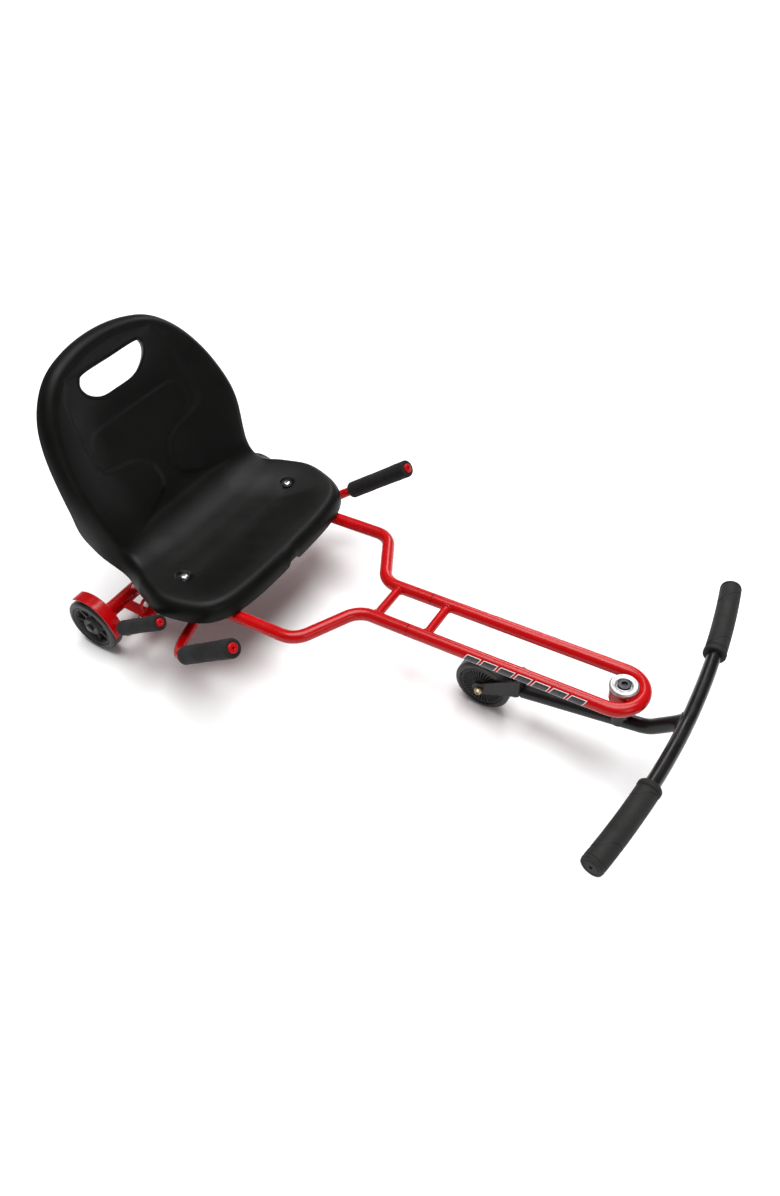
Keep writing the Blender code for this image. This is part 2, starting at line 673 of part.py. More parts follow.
def build_fork_tool():
    """Flat bar bent to a U round the front of the wheel, wide at the bend and tapering to the axle."""
    axle = FRONT_WHEEL_Y - HEAD_Y
    bend = 0.0080
    middle = FORK_INNER + FORK_PLATE / 2
    stations = []
    for back in (FORK_EYE_R, FORK_EYE_R * 0.85, FORK_EYE_R * 0.5, 0.0):
        stations.append((middle, axle + back, 0.0))
    for fraction in (0.35, 0.7):
        stations.append((middle, axle + (FORK_FRONT + bend - axle) * fraction, 0.0))
    steps = 5
    for step in range(steps + 1):
        angle = math.pi / 2 * step / steps
        x = middle - bend + bend * math.cos(angle)
        stations.append((x, FORK_FRONT + FORK_PLATE / 2 + bend - bend * math.sin(angle), angle))
    stations += [(-x, y, math.pi - angle) for x, y, angle in stations[::-1]]
    bm = bmesh.new()
    loops = []
    for x, y, angle in stations:
        low, high = fork_span(y)
        normal = Vector((math.cos(angle), -math.sin(angle), 0)) * FORK_PLATE / 2
        centre = Vector((x, HEAD_Y + y, 0))
        corners = [centre + normal + Vector((0, 0, low)), centre + normal + Vector((0, 0, high)),
                   centre - normal + Vector((0, 0, high)), centre - normal + Vector((0, 0, low))]
        loops.append([bm.verts.new(corner) for corner in corners])
    for loop, following in zip(loops, loops[1:]):
        for index in range(4):
            after = (index + 1) % 4
            bm.faces.new((loop[index], loop[after], following[after], following[index]))
    bm.faces.new(loops[0])
    bm.faces.new(loops[-1])
    return finish_object("tool_fork", bm, None, cutter=True)


def bar_point(x):
    """Centre of the foot bar at a distance x from the middle."""
    outward = abs(x) / BAR_HALF
    y = BAR_Y + BAR_SWEEP * outward ** 2
    z = BAR_Z + BAR_RISE * math.sin(math.pi / 2 * min(outward, 1.0))
    return Vector((x, y, z))


def build_foot_bar(paint):
    count = 14
    path = [bar_point(BAR_HALF * (2 * step / count - 1)) for step in range(count + 1)]
    return finish_object("foot_bar", sweep_tube(path, TUBE_R), paint)


def build_foot_grips(rubber):
    pieces = []
    for side, word in ((1, "left"), (-1, "right")):
        steps = 4
        path = []
        for step in range(steps + 1):
            path.append(bar_point(side * (GRIP_START + (BAR_HALF + 0.0035 - GRIP_START) * step / steps)))
        grip = finish_object(f"foot_grip_{word}", sweep_tube(path, GRIP_R, 16), rubber)
        inner = [bar_point(side * (GRIP_START - 0.01 + (BAR_HALF + 0.013 - GRIP_START) * step / 6))
                 for step in range(7)]
        tool = finish_object(f"tool_grip_bore_{word}", sweep_tube(inner, TUBE_R + GAP), None, cutter=True)
        boolean(grip, tool, "DIFFERENCE")
        pieces.append(grip)
        end = bar_point(side * (BAR_HALF + 0.0035))
        axis = (end - bar_point(side * (BAR_HALF - 0.0100))).normalized()
        plug = [(0.0020, GAP), (0.0155, GAP), (0.0155, 0.0008), (0.0120, 0.0024), (0.0020, 0.0024)]
        pieces.append(turned(f"grip_end_{word}", plug, end, axis, rubber))
    return pieces


def build_front_axle(steel, brass):
    """Bolt through the fork with a brass-coloured nut on the right."""
    half = FORK_INNER + FORK_PLATE
    head_at = Vector((half + GAP, FRONT_WHEEL_Y, FRONT_WHEEL_R))
    profile = hex_bolt_profile(AXLE_R, 2 * half + 0.0095, 0.0072, 0.0050)
    bolt = turned("front_axle_bolt", profile, head_at, -LEFTWARD, steel, 18)
    nut_at = Vector((-half - GAP, FRONT_WHEEL_Y, FRONT_WHEEL_R))
    bore = hex_bore(AXLE_R)
    nut_profile = [(bore, 0), (0.0075, 0), (0.0075, 0.0055), (0.0062, 0.0072), (bore, 0.0072)]
    nut = turned("front_axle_nut", nut_profile, nut_at, -LEFTWARD, brass, 6)
    pieces = [bolt, nut]
    for side, word in ((1, "left"), (-1, "right")):
        start = Vector((side * (HUB_HALF + GAP), FRONT_WHEEL_Y, FRONT_WHEEL_R))
        washer = ring_profile(AXLE_BORE_R, 0.0070, 0, FORK_INNER - HUB_HALF - 2 * GAP)
        pieces.append(turned(f"fork_spacer_{word}", washer, start, side * LEFTWARD, steel, 18))
    return pieces


# ---------------------------------------------------------------- wheels
def tyre_profile(radius):
    """Urethane tyre with a rounded tread; its bore takes the core's rim."""
    inner = radius * 0.66
    shoulder = 0.0065
    profile = [(inner, -WHEEL_HALF + 0.0010), (radius * 0.80, -WHEEL_HALF)]
    steps = 3
    for step in range(steps + 1):
        angle = math.pi / 2 * step / steps
        profile.append((radius - shoulder + shoulder * math.sin(angle), -WHEEL_HALF * 0.55
                        - WHEEL_HALF * 0.45 * math.cos(angle)))
    profile += [(r, -h) for r, h in profile[::-1]]
    return profile


def core_profile(radius):
    """Moulded core: hub barrel, thin web and rim."""
    rim = radius * 0.66 - GAP
    bore = BEARING_R + GAP
    return [(bore, -HUB_HALF), (0.0150, -HUB_HALF), (0.0165, -0.0060), (rim - 0.0050, -0.0060),
            (rim - 0.0035, -0.0105), (rim, -0.0105), (rim, 0.0105), (rim - 0.0035, 0.0105),
            (rim - 0.0050, 0.0060), (0.0165, 0.0060), (0.0150, HUB_HALF), (bore, HUB_HALF)]


def build_wheel(prefix, centre, radius, rubber, plastic, steel):
    """Tyre, core, two bearings and the spacer between them, on an axis along X."""
    pieces = [
        turned(f"{prefix}_tyre", tyre_profile(radius), centre, LEFTWARD, rubber, 32),
        turned(f"{prefix}_core", core_profile(radius), centre, LEFTWARD, plastic, 24),
    ]
    bearing_at = HUB_HALF - BEARING_HALF
    for side, word in ((1, "left"), (-1, "right")):
        low = side * bearing_at - BEARING_HALF
        profile = ring_profile(AXLE_BORE_R, BEARING_R, low, low + 2 * BEARING_HALF)
        pieces.append(turned(f"{prefix}_bearing_{word}", profile, centre, LEFTWARD, steel, 20))
    half = bearing_at - BEARING_HALF - GAP
    profile = ring_profile(AXLE_BORE_R, 0.0060, -half, half)
    pieces.append(turned(f"{prefix}_spacer", profile, centre, LEFTWARD, steel, 16))
    return pieces


def cut_web_holes(core, centre, count):
    """Round lightening holes through a rear wheel's web."""
    for index in range(count):
        angle = 2 * math.pi * (index + 0.37) / count
        place = centre + Vector((0, math.cos(angle), math.sin(angle))) * 0.0212
        start = place - LEFTWARD * 0.02
        end = place + LEFTWARD * 0.02
        boolean(core, cutter_rod(f"tool_{core.name}_{index}", 0.0036, start, end, 10), "DIFFERENCE")


def build_rear_axle(side, word, steel):
    """Shoulder bolt that carries a rear wheel, screwed into the axle tube's end, and its washer."""
    face = REAR_WHEEL_X + HUB_HALF
    start = Vector((side * (face + GAP), REAR_WHEEL_Y, REAR_WHEEL_R))
    profile = hex_bolt_profile(AXLE_R, 0.0480, 0.0068, 0.0045)
    bolt = turned(f"rear_axle_bolt_{word}", profile, start, -side * LEFTWARD, steel, 18)
    inner = Vector((side * (REAR_WHEEL_X - HUB_HALF - 0.0017), REAR_WHEEL_Y, REAR_WHEEL_R))
    washer = ring_profile(AXLE_BORE_R, 0.0065, 0, 0.0014)
    spacer = turned(f"rear_washer_{word}", washer, inner, side * LEFTWARD, steel, 18)
    return [bolt, spacer]


# ---------------------------------------------------------------- hand brake
def build_brake_lever(paint):
    """Cross shaft in front of the right wheel, turned up and forward into a short handle."""
    corners = [
        Vector((-0.1400, BRAKE_PIVOT_Y, BRAKE_PIVOT_Z)),
        Vector((-0.2090, BRAKE_PIVOT_Y, BRAKE_PIVOT_Z)),
        LEVER_START,
        LEVER_END,
    ]
    return finish_object("brake_lever", sweep_tube(fillet_path(corners, 0.010), LEVER_R, 14), paint)


def build_brake_shoe(paint):
    """Curved plate over the tyre, standing open by BRAKE_LIFT about the cross shaft."""
    bm = bmesh.new()
    inner = REAR_WHEEL_R + SHOE_GAP
    outer = inner + SHOE_THICK
    start = math.radians(-4)
    end = math.radians(126)
    steps = 18
    pivot = Vector((0, BRAKE_PIVOT_Y, BRAKE_PIVOT_Z))
    lift = Matrix.Rotation(BRAKE_LIFT, 3, LEFTWARD)
    loops = []
    for step in range(steps + 1):
        angle = start + (end - start) * step / steps
        half = 0.0125 - 0.0035 * max(1 - step / 4, 0.0)
        loop = []
        for x, radius in ((-half, inner), (half, inner), (half, outer), (-half, outer)):
            flat = Vector((0, REAR_WHEEL_Y - radius * math.cos(angle), REAR_WHEEL_R + radius * math.sin(angle)))
            lifted = pivot + lift @ (flat - pivot)
            loop.append(bm.verts.new(lifted + Vector((-REAR_WHEEL_X + x, 0, 0))))
        loops.append(loop)
    for loop, following in zip(loops, loops[1:]):
        for index in range(4):
            after = (index + 1) % 4
            bm.faces.new((loop[index], loop[after], following[after], following[index]))
    bm.faces.new(loops[0])
    bm.faces.new(loops[-1])
    return finish_object("brake_shoe", bm, paint)


def build_lever_grip(foam, paint):
    axis = (LEVER_END - LEVER_START).normalized()
    start = LEVER_START + axis * 0.0080
    length = (LEVER_END - start).length + 0.0020
    sleeve = ring_profile(LEVER_R + GAP, LEVER_FOAM_R, 0, length)
    grip = turned("brake_foam_grip", sleeve, start, axis, foam)
    plug = [(0.0016, length + GAP - 0.0020 + 0.0003), (LEVER_R - 0.0003, length - 0.0017),
            (LEVER_R - 0.0003, length), (0.0045, length + 0.0020), (0.0016, length + 0.0020)]
    cap = turned("brake_plug", plug, start, axis, paint)
    return [grip, cap]


def build_brake_bracket(paint):
    """Bearing sleeve for the cross shaft, its plate to the axle tube and the wire loop on top."""
    outer = Vector((-SLEEVE_OUTER_X, BRAKE_PIVOT_Y, BRAKE_PIVOT_Z))
    length = SLEEVE_OUTER_X - SLEEVE_INNER_X
    sleeve = turned("brake_bracket", ring_profile(LEVER_R + GAP, 0.0095, 0, length), outer, LEFTWARD, paint)
    boolean(sleeve, build_bracket_plate(), "UNION")
    boolean(sleeve, build_bracket_loop(), "UNION")
    return sleeve


def build_bracket_plate():
    front = BRAKE_PIVOT_Y + 0.0080
    rear = REAR_WHEEL_Y - AXLE_TUBE_R - 0.0006
    bm = bmesh.new()
    bmesh.ops.create_cube(bm, size=1.0)
    size = Vector((0.0180, rear - front, 0.0040))
    centre = Vector((-(SLEEVE_INNER_X + SLEEVE_OUTER_X) / 2, (front + rear) / 2, REAR_WHEEL_R - 0.0005))
    bmesh.ops.scale(bm, vec=size, verts=bm.verts)
    bmesh.ops.translate(bm, vec=centre, verts=bm.verts)
    return finish_object("tool_bracket_plate", bm, None, cutter=True)


def build_bracket_loop():
    """Bent wire standing on the sleeve, where the return spring hooks on."""
    middle = (SLEEVE_INNER_X + SLEEVE_OUTER_X) / 2
    radius = 0.0080
    foot = BRAKE_PIVOT_Z + 0.0078
    top = BRAKE_PIVOT_Z + 0.0260
    path = [Vector((-middle - radius, BRAKE_PIVOT_Y, foot))]
    steps = 8
    for step in range(steps + 1):
        angle = math.pi * step / steps
        path.append(Vector((-middle - radius * math.cos(angle), BRAKE_PIVOT_Y, top + radius * math.sin(angle))))
    path.append(Vector((-middle + radius, BRAKE_PIVOT_Y, foot)))
    return finish_object("tool_bracket_loop", sweep_tube(path, 0.0026, 10), None, cutter=True)


def build_brake_spring(steel):
    """Torsion spring wound round the cross shaft beside its sleeve."""
    turns = 3
    per_turn = 10
    coil_r = 0.0088
    wire_r = 0.0009
    start_x = SLEEVE_OUTER_X + 0.0020
    pitch = 0.0026
    path = []
    for step in range(turns * per_turn + 1):
        angle = 2 * math.pi * step / per_turn
        x = -start_x - pitch * step / per_turn
        path.append(Vector((x, BRAKE_PIVOT_Y + coil_r * math.cos(angle), BRAKE_PIVOT_Z + coil_r * math.sin(angle))))
    return finish_object("brake_spring", sweep_tube(path, wire_r, 5), steel)


# ---------------------------------------------------------------- assembly
def build_kart():
    clear_scene()
    red = make_material("red_paint", (0.62, 0.012, 0.020), 0.28)
    black = make_material("black_paint", (0.020, 0.020, 0.022), 0.40)
    seat_plastic = make_material("seat_plastic", (0.022, 0.023, 0.024), 0.48)
    wheel_plastic = make_material("wheel_plastic", (0.018, 0.018, 0.019), 0.45)
    foam = make_material("foam", (0.035, 0.035, 0.037), 0.90)
    rubber = make_material("grip_rubber", (0.028, 0.028, 0.029), 0.75)
    tyre = make_material("urethane", (0.030, 0.030, 0.031), 0.50)
    steel = make_material("zinc_steel", (0.70, 0.70, 0.72), 0.30, 1.0)
    black_steel = make_material("black_steel", (0.030, 0.030, 0.032), 0.35, 0.6)
    aluminium = make_material("aluminium", (0.80, 0.80, 0.82), 0.28, 1.0)
    brass = make_material("brass_plate", (0.72, 0.56, 0.24), 0.30, 1.0)

    build_rear_frame(red)
    build_spigots(steel)
    build_handle_bar(red)
    build_handle_ends(foam, red)
    build_seat(seat_plastic)
    build_seat_fixings(steel, red)
    build_brake_bracket(red)
    build_brake_spring(steel)
    for side, word in ((1, "left"), (-1, "right")):
        build_rear_axle(side, word, steel)
        centre = Vector((side * REAR_WHEEL_X, REAR_WHEEL_Y, REAR_WHEEL_R))
        pivot = make_pivot(f"pivot_rear_wheel_{word}", centre)
        pieces = build_wheel(f"rear_{word}", centre, REAR_WHEEL_R, tyre, wheel_plastic, steel)
        cut_web_holes(pieces[1], centre, 8)
        attach(pivot, pieces)

    loop_pivot = make_pivot("pivot_front_loop", rail_point(0, JOINT_S))
    loop_pieces = [build_front_loop(red)] + build_lock_screws(steel) + build_headset(steel)
    attach(loop_pivot, loop_pieces)

    steer_pivot = make_pivot("pivot_steering", rail_point(0, 0))
    arm_pieces = [build_steering_arm(black), build_foot_bar(black), build_head_cap(aluminium)]
    arm_pieces += build_king_bolt(black_steel) + build_foot_grips(rubber) + build_front_axle(steel, brass)
    attach(steer_pivot, arm_pieces)

    front_centre = Vector((0, FRONT_WHEEL_Y, FRONT_WHEEL_R))
    wheel_pivot = make_pivot("pivot_front_wheel", front_centre)
    attach(wheel_pivot, build_wheel("front", front_centre, FRONT_WHEEL_R, tyre, wheel_plastic, steel))

    brake_pivot = make_pivot("pivot_brake", Vector((-0.18, BRAKE_PIVOT_Y, BRAKE_PIVOT_Z)))
    attach(brake_pivot, [build_brake_lever(red), build_brake_shoe(red)] + build_lever_grip(foam, red))


build_kart()
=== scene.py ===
"""Visual model of a foot-steered ride-on kart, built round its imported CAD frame.

Metres, +Z up, forward is -Y, the rider's left is +X. Distances called s run backwards along the rails
from the head tube's axis, or backwards and up along the seat from its front edge.
"""
import json
import math

import bmesh
import bpy
import numpy as np
from mathutils import Matrix, Vector


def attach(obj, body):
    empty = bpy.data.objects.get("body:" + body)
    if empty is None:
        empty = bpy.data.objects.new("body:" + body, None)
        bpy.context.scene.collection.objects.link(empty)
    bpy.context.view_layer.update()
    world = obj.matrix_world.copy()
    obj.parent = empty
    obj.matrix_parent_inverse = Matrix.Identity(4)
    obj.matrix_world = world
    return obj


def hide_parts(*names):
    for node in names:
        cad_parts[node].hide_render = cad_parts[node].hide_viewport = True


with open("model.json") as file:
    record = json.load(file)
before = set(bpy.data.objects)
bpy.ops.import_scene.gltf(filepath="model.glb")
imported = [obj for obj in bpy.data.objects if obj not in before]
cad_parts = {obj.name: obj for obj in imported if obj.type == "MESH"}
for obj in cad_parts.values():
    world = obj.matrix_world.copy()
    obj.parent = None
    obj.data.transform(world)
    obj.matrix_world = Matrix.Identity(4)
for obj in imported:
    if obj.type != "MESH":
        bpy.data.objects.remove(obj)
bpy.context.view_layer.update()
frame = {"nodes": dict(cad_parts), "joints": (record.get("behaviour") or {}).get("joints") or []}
JOINTS = {joint["name"]: joint for joint in frame["joints"]}

# ---------------------------------------------------------------- driving dimensions
HEAD = Vector(JOINTS["steering_turn"]["pos_m"])
HEAD_AXIS = Vector(JOINTS["steering_turn"]["axis"]).normalized()
RAIL_AXIS = -Vector(JOINTS["loop_slide"]["axis"]).normalized()
FRONT_HUB = Vector(JOINTS["front_wheel_spin"]["pos_m"])
LEFT_HUB = Vector(JOINTS["rear_wheel_left_spin"]["pos_m"])
BRAKE_PIVOT = Vector(JOINTS["brake_lever_pull"]["pos_m"])
LEFTWARD = Vector((1.0, 0.0, 0.0))
UPWARD = Vector((0.0, 0.0, 1.0))

TUBE_R = 0.0100
ARM_R = 0.0110
AXLE_TUBE_R = 0.0125
CROSS_R = 0.0070
HANDLE_R = 0.0080
LEVER_R = 0.0065
FRONT_HALF = 0.0369
REAR_HALF = 0.1337
NOSE_S = 0.0095
RAIL_MIDDLE_S = 0.1600
JOINT_S = 0.3170
JOINT_GAP = 0.0003
CROSS_FRONT_S = 0.2893
CROSS_REAR_S = 0.3754
SEAT_CROSS_S = 0.7100
SPLAY_START_S = 0.4035
SPLAY_END_S = 0.4560
SPLAY_RADIUS = 0.0380
RAIL_DROP_S = 0.7350         # where the rails bend down to the axle tube
HEAD_TUBE_R = 0.0190
HEAD_BORE_R = 0.0150
HEAD_TOP = 0.0085
HEAD_STEP = -0.0125          # where the head tube ends and its collar begins
HEAD_BOTTOM = -0.0420
BOLT_BORE_R = 0.0053
BOSS_R = 0.0130
BOSS_TOP = -0.0440
BOSS_BOTTOM = -0.0610
WHEEL_HALF = 0.0120
HUB_HALF = 0.0115
FRONT_RADIUS = 0.0449        # front wheel
REAR_RADIUS = 0.0476         # rear wheels
RIM_SHARE = 0.78             # core radius over wheel radius
BEARING_R = 0.0110
AXLE_R = 0.0039
BAR_HALF = 0.2615
BAR_BACK = -0.0908           # foot bar, behind the head tube's axis
BAR_Z = 0.1484
BAR_SWEEP = 0.0250
BAR_RISE = 0.0103
GRIP_START = 0.1255
GRIP_R = 0.0160
ARM_SLOPE = 0.224
FORK_FRONT = 0.1400
FORK_INNER = 0.0140
FORK_PLATE = 0.0030
FORK_EYE_R = 0.0125
FORK_LOW = 0.0610
FORK_HIGH = 0.0960
HANDLE_START = Vector((0.2271, HEAD.y + 0.5887, 0.0966))
HANDLE_END = Vector((0.2340, HEAD.y + 0.4800, 0.1846))
FOAM_R = 0.0145
LEVER_FOAM_R = 0.0120
LEVER_START = Vector((-0.2245, BRAKE_PIVOT.y - 0.0060, 0.0745))
LEVER_END = Vector((-0.2270, BRAKE_PIVOT.y - 0.1050, 0.1465))
BRAKE_LIFT = math.radians(6.0)

SEAT_FRONT_Y = HEAD.y + 0.5480
SEAT_FRONT_Z = 0.1390
PAN_RISE = math.radians(1.2)
BACK_LEAN = math.radians(27.0)
PAN_LENGTH = 0.2110
FOLD_RADIUS = 0.0750
BACK_DISH = 0.0200
TOP_CURL = 0.0160
SEAT_SKIN = 0.0040
SEAT_HALF = 0.2020
SEAT_BOLT_S = 0.1120
RIM_WIDTH = 0.0200
RIM_HEIGHT = 0.0130
LIP_DROP = 0.0145
WAIST_DROP = 0.0220
WAIST_S = 0.2650
WAIST_SPREAD = 0.0480
SEAT_OUTLINE = [(0.000, 0.000), (0.100, 0.003), (0.155, 0.016), (0.186, 0.046), (SEAT_HALF, 0.105),
                (0.188, 0.155), (0.170, 0.196), (0.175, 0.240), (0.186, 0.300), (0.186, 0.350),
                (0.172, 0.412), (0.147, 0.460), (0.108, 0.496), (0.058, 0.514), (0.000, 0.5200)]
HAND_HOLE = [(0.000, 0.478), (0.056, 0.478), (0.069, 0.470), (0.072, 0.458), (0.065, 0.444), (0.050, 0.432),
             (0.030, 0.425), (0.000, 0.424)]
SHIELD = [(0.092, 0.484), (0.112, 0.455), (0.118, 0.415), (0.122, 0.381), (0.123, 0.353), (0.112, 0.334),
          (0.084, 0.325), (0.056, 0.321), (0.034, 0.311), (0.0225, 0.296), (0.020, 0.276), (0.026, 0.261),
          (0.050, 0.249), (0.085, 0.240), (0.120, 0.225)]
PANEL = [(0.000, 0.336), (0.082, 0.338), (0.098, 0.345), (0.104, 0.356), (0.102, 0.376), (0.094, 0.388),
         (0.080, 0.392), (0.000, 0.392)]

ROUND = 40                   # sides of a turned or swept piece
SHARP_ANGLE = 38             # degrees between faces that meet at a crease
SIDES = ((1, "left"), (-1, "right"))


# ---------------------------------------------------------------- helpers for pieces
def rail_point(x, s, lift=0.0):
    """A point s behind the head tube along the rails, lift above the rail plane."""
    return HEAD + LEFTWARD * x + RAIL_AXIS * s + HEAD_AXIS * lift


def axle_point(x):
    """A point of the rear axle's line."""
    return Vector((x, LEFT_HUB.y, LEFT_HUB.z))


def pivot_point(x):
    """A point of the brake shaft's line."""
    return Vector((x, BRAKE_PIVOT.y, BRAKE_PIVOT.z))


def smoothstep(value):
    """0 at 0 and below, 1 at 1 and above, and smooth between."""
    value = min(max(value, 0.0), 1.0)
    return value * value * (3 - 2 * value)


def span(start, end, steps):
    """Evenly spaced values from start to end, both included."""
    return [start + (end - start) * step / steps for step in range(steps + 1)]


def full_turn(sides):
    """The angles of evenly spaced points round a circle."""
    return [2 * math.pi * step / sides for step in range(sides)]


def mesh_of(shape, name):
    """The mesh of a bmesh, which is freed."""
    mesh = bpy.data.meshes.new(name)
    shape.to_mesh(mesh)
    shape.free()
    return mesh


def placed(name, data):
    """A new object in the scene."""
    item = bpy.data.objects.new(name, data)
    bpy.context.scene.collection.objects.link(item)
    return item


def combine(shapes):
    """Several bmeshes as one."""
    whole = bmesh.new()
    for shape in shapes:
        mesh = mesh_of(shape, "shape")
        whole.from_mesh(mesh)
        bpy.data.meshes.remove(mesh)
    return whole


def add_piece(name, shape, material, body, replaces=(), sharp=SHARP_ANGLE):
    """A named, smooth-shaded piece that rides on a body and stands for some CAD nodes."""
    bmesh.ops.recalc_face_normals(shape, faces=shape.faces)
    mesh = mesh_of(shape, name)
    mesh.shade_smooth()
    mesh.set_sharp_from_angle(angle=math.radians(sharp))
    mesh.materials.append(material)
    piece = placed(name, mesh)
    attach(piece, body)
    if replaces:
        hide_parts(*replaces)
    return piece


def cut(piece, shape):
    """Takes a closed shape out of a piece, and keeps the result as its mesh."""
    bmesh.ops.recalc_face_normals(shape, faces=shape.faces)
    cutter = placed("cutter", mesh_of(shape, "cutter"))
    modifier = piece.modifiers.new("Cut", "BOOLEAN")
    modifier.object = cutter
    modifier.operation = "DIFFERENCE"
    modifier.solver = "EXACT"
    evaluated = piece.evaluated_get(bpy.context.evaluated_depsgraph_get())
    result = bpy.data.meshes.new_from_object(evaluated)
    piece.modifiers.clear()
    piece.data = result
    result.set_sharp_from_angle(angle=math.radians(SHARP_ANGLE))
    bpy.data.objects.remove(cutter, do_unlink=True)


def fillet_path(corners, radius, steps=14):
    """The corner points with each inner corner replaced by an arc of the given radius."""
    path = [corners[0].copy()]
    for before, corner, after in zip(corners, corners[1:], corners[2:]):
        inward = (before - corner).normalized()
        outward = (after - corner).normalized()
        turn = math.pi - inward.angle(outward)
        reach = radius * math.tan(turn / 2)
        reach = min(reach, 0.49 * (before - corner).length, 0.49 * (after - corner).length)
        true_radius = reach / math.tan(turn / 2)
        start = corner + inward * reach
        centre = corner + (inward + outward).normalized() * (true_radius / math.cos(turn / 2))
        axis = (start - centre).cross(corner + outward * reach - centre).normalized()
        for step in range(steps + 1):
            spin = Matrix.Rotation(turn * step / steps, 3, axis)
            path.append(centre + spin @ (start - centre))
    path.append(corners[-1].copy())
    return path


def bridge(shape, rings, closed=False):
    """Joins each ring of vertices to the next, and the last one to the first if closed."""
    following_rings = rings[1:] + rings[:1] if closed else rings[1:]
    for ring, following in zip(rings, following_rings):
        for step in range(len(ring)):
            after = (step + 1) % len(ring)
            shape.faces.new((ring[step], ring[after], following[after], following[step]))


def sweep(path, radius, sides=ROUND, closed=False, first_side=None):
    """A round bar along a path; radius is a number or a function of a point's index and the angle."""
    shape = bmesh.new()
    count = len(path)
    tangent = (path[1] - path[0]).normalized()
    side = (first_side or tangent.orthogonal()).normalized()
    rings = []
    for index, point in enumerate(path):
        before = path[index - 1] if index or closed else path[0]
        after = path[(index + 1) % count] if index < count - 1 or closed else path[-1]
        new_tangent = (after - before).normalized()
        side = (tangent.rotation_difference(new_tangent) @ side).normalized()
        tangent = new_tangent
        other = tangent.cross(side)
        ring = []
        for angle in full_turn(sides):
            reach = radius(index, angle) if callable(radius) else radius
            outward = side * math.cos(angle) + other * math.sin(angle)
            ring.append(shape.verts.new(point + outward * reach))
        rings.append(ring)
    bridge(shape, rings, closed)
    if not closed:
        shape.faces.new(rings[0])
        shape.faces.new(rings[-1])
    return shape


def tube(path, radius, sides=ROUND, chamfer=0.0006):
    """A round bar whose two ends have a small chamfer."""
    first = path[0] + (path[1] - path[0]).normalized() * chamfer
    last = path[-1] + (path[-2] - path[-1]).normalized() * chamfer
    points = [path[0], first] + path[1:-1] + [last, path[-1]]
    ends = (0, len(points) - 1)
    return sweep(points, lambda index, angle: radius - chamfer * (index in ends), sides)


def turned(profile, centre, axis, sides=ROUND):
    """Turns a closed (radius, height) outline about an axis through centre."""
    shape = bmesh.new()
    rings = []
    for radius, height in profile:
        angles = full_turn(sides) if radius else [0.0]
        points = [(radius * math.cos(angle), radius * math.sin(angle), height) for angle in angles]
        rings.append([shape.verts.new(point) for point in points])
    for index, ring in enumerate(rings):
        following = rings[(index + 1) % len(rings)]
        if len(ring) == 1 and len(following) == 1:
            continue
        for step in range(sides):
            after = (step + 1) % sides
            corners = [ring[step % len(ring)], ring[after % len(ring)]]
            corners += [following[after % len(following)], following[step % len(following)]]
            shape.faces.new(list(dict.fromkeys(corners)))
    shape.transform(Matrix.Translation(centre) @ axis.to_track_quat("Z", "Y").to_matrix().to_4x4())
    return shape


def prism(centre, axis, radius, low, high, sides=6):
    """A closed polygonal prism along axis."""
    return turned([(0, low), (radius, low), (radius, high), (0, high)], centre, axis, sides)


def arc(centre_r, centre_h, radius, start, end, steps=6):
    """Points of a round corner in a turned profile, with angles in degrees from the outward direction."""
    angles = [math.radians(degrees) for degrees in span(start, end, steps)]
    return [(centre_r + radius * math.cos(angle), centre_h + radius * math.sin(angle)) for angle in angles]


def bored_profile(bore, radius, low, high, low_ease, high_ease):
    """Profile of a bored round piece with its outer edges chamfered."""
    return [(bore, low), (radius - low_ease, low), (radius, low + low_ease),
            (radius, high - high_ease), (radius - high_ease, high), (bore, high)]


def eased_section(half, low, high, ease):
    """A flat bar's section, from -half to half and from low to high, with eased corners."""
    return [(-half, low + ease), (ease - half, low), (half - ease, low), (half, low + ease),
            (half, high - ease), (half - ease, high), (ease - half, high), (-half, high - ease)]


def weld_bead(path, size, ripple=0.15, closed=False):
    """A rippled weld bead along a path."""
    return sweep(path, lambda index, angle: size * (1 + ripple * math.cos(math.pi * index / 2)), 10, closed)


def weld_ring(centre, toward, along, small_r, main_r, size=0.0015):
    """The bead where a tube leaving centre in direction toward meets a larger tube that runs along."""
    across = toward.cross(along).normalized()
    lengthwise = across.cross(toward).normalized()
    path = []
    for angle in full_turn(72):
        side = small_r * math.sin(angle)
        reach = math.sqrt(max(main_r ** 2 - side ** 2, 0.0))
        path.append(centre + toward * reach + lengthwise * small_r * math.cos(angle) + across * side)
    return weld_bead(path, size, 0.16, closed=True)


def band(outline, position, profile):
    """A closed band: profile points (offset from the outline, height) carried round a closed outline."""
    shape = bmesh.new()
    rings = []
    for index in range(len(outline)):
        rings.append([shape.verts.new(position(index, offset, height)) for offset, height in profile])
    bridge(shape, rings, closed=True)
    return shape


def strip(loops):
    """A closed solid through a row of closed loops of points."""
    shape = bmesh.new()
    rings = [[shape.verts.new(point) for point in loop] for loop in loops]
    bridge(shape, rings)
    shape.faces.new(rings[0])
    shape.faces.new(rings[-1])
    return shape


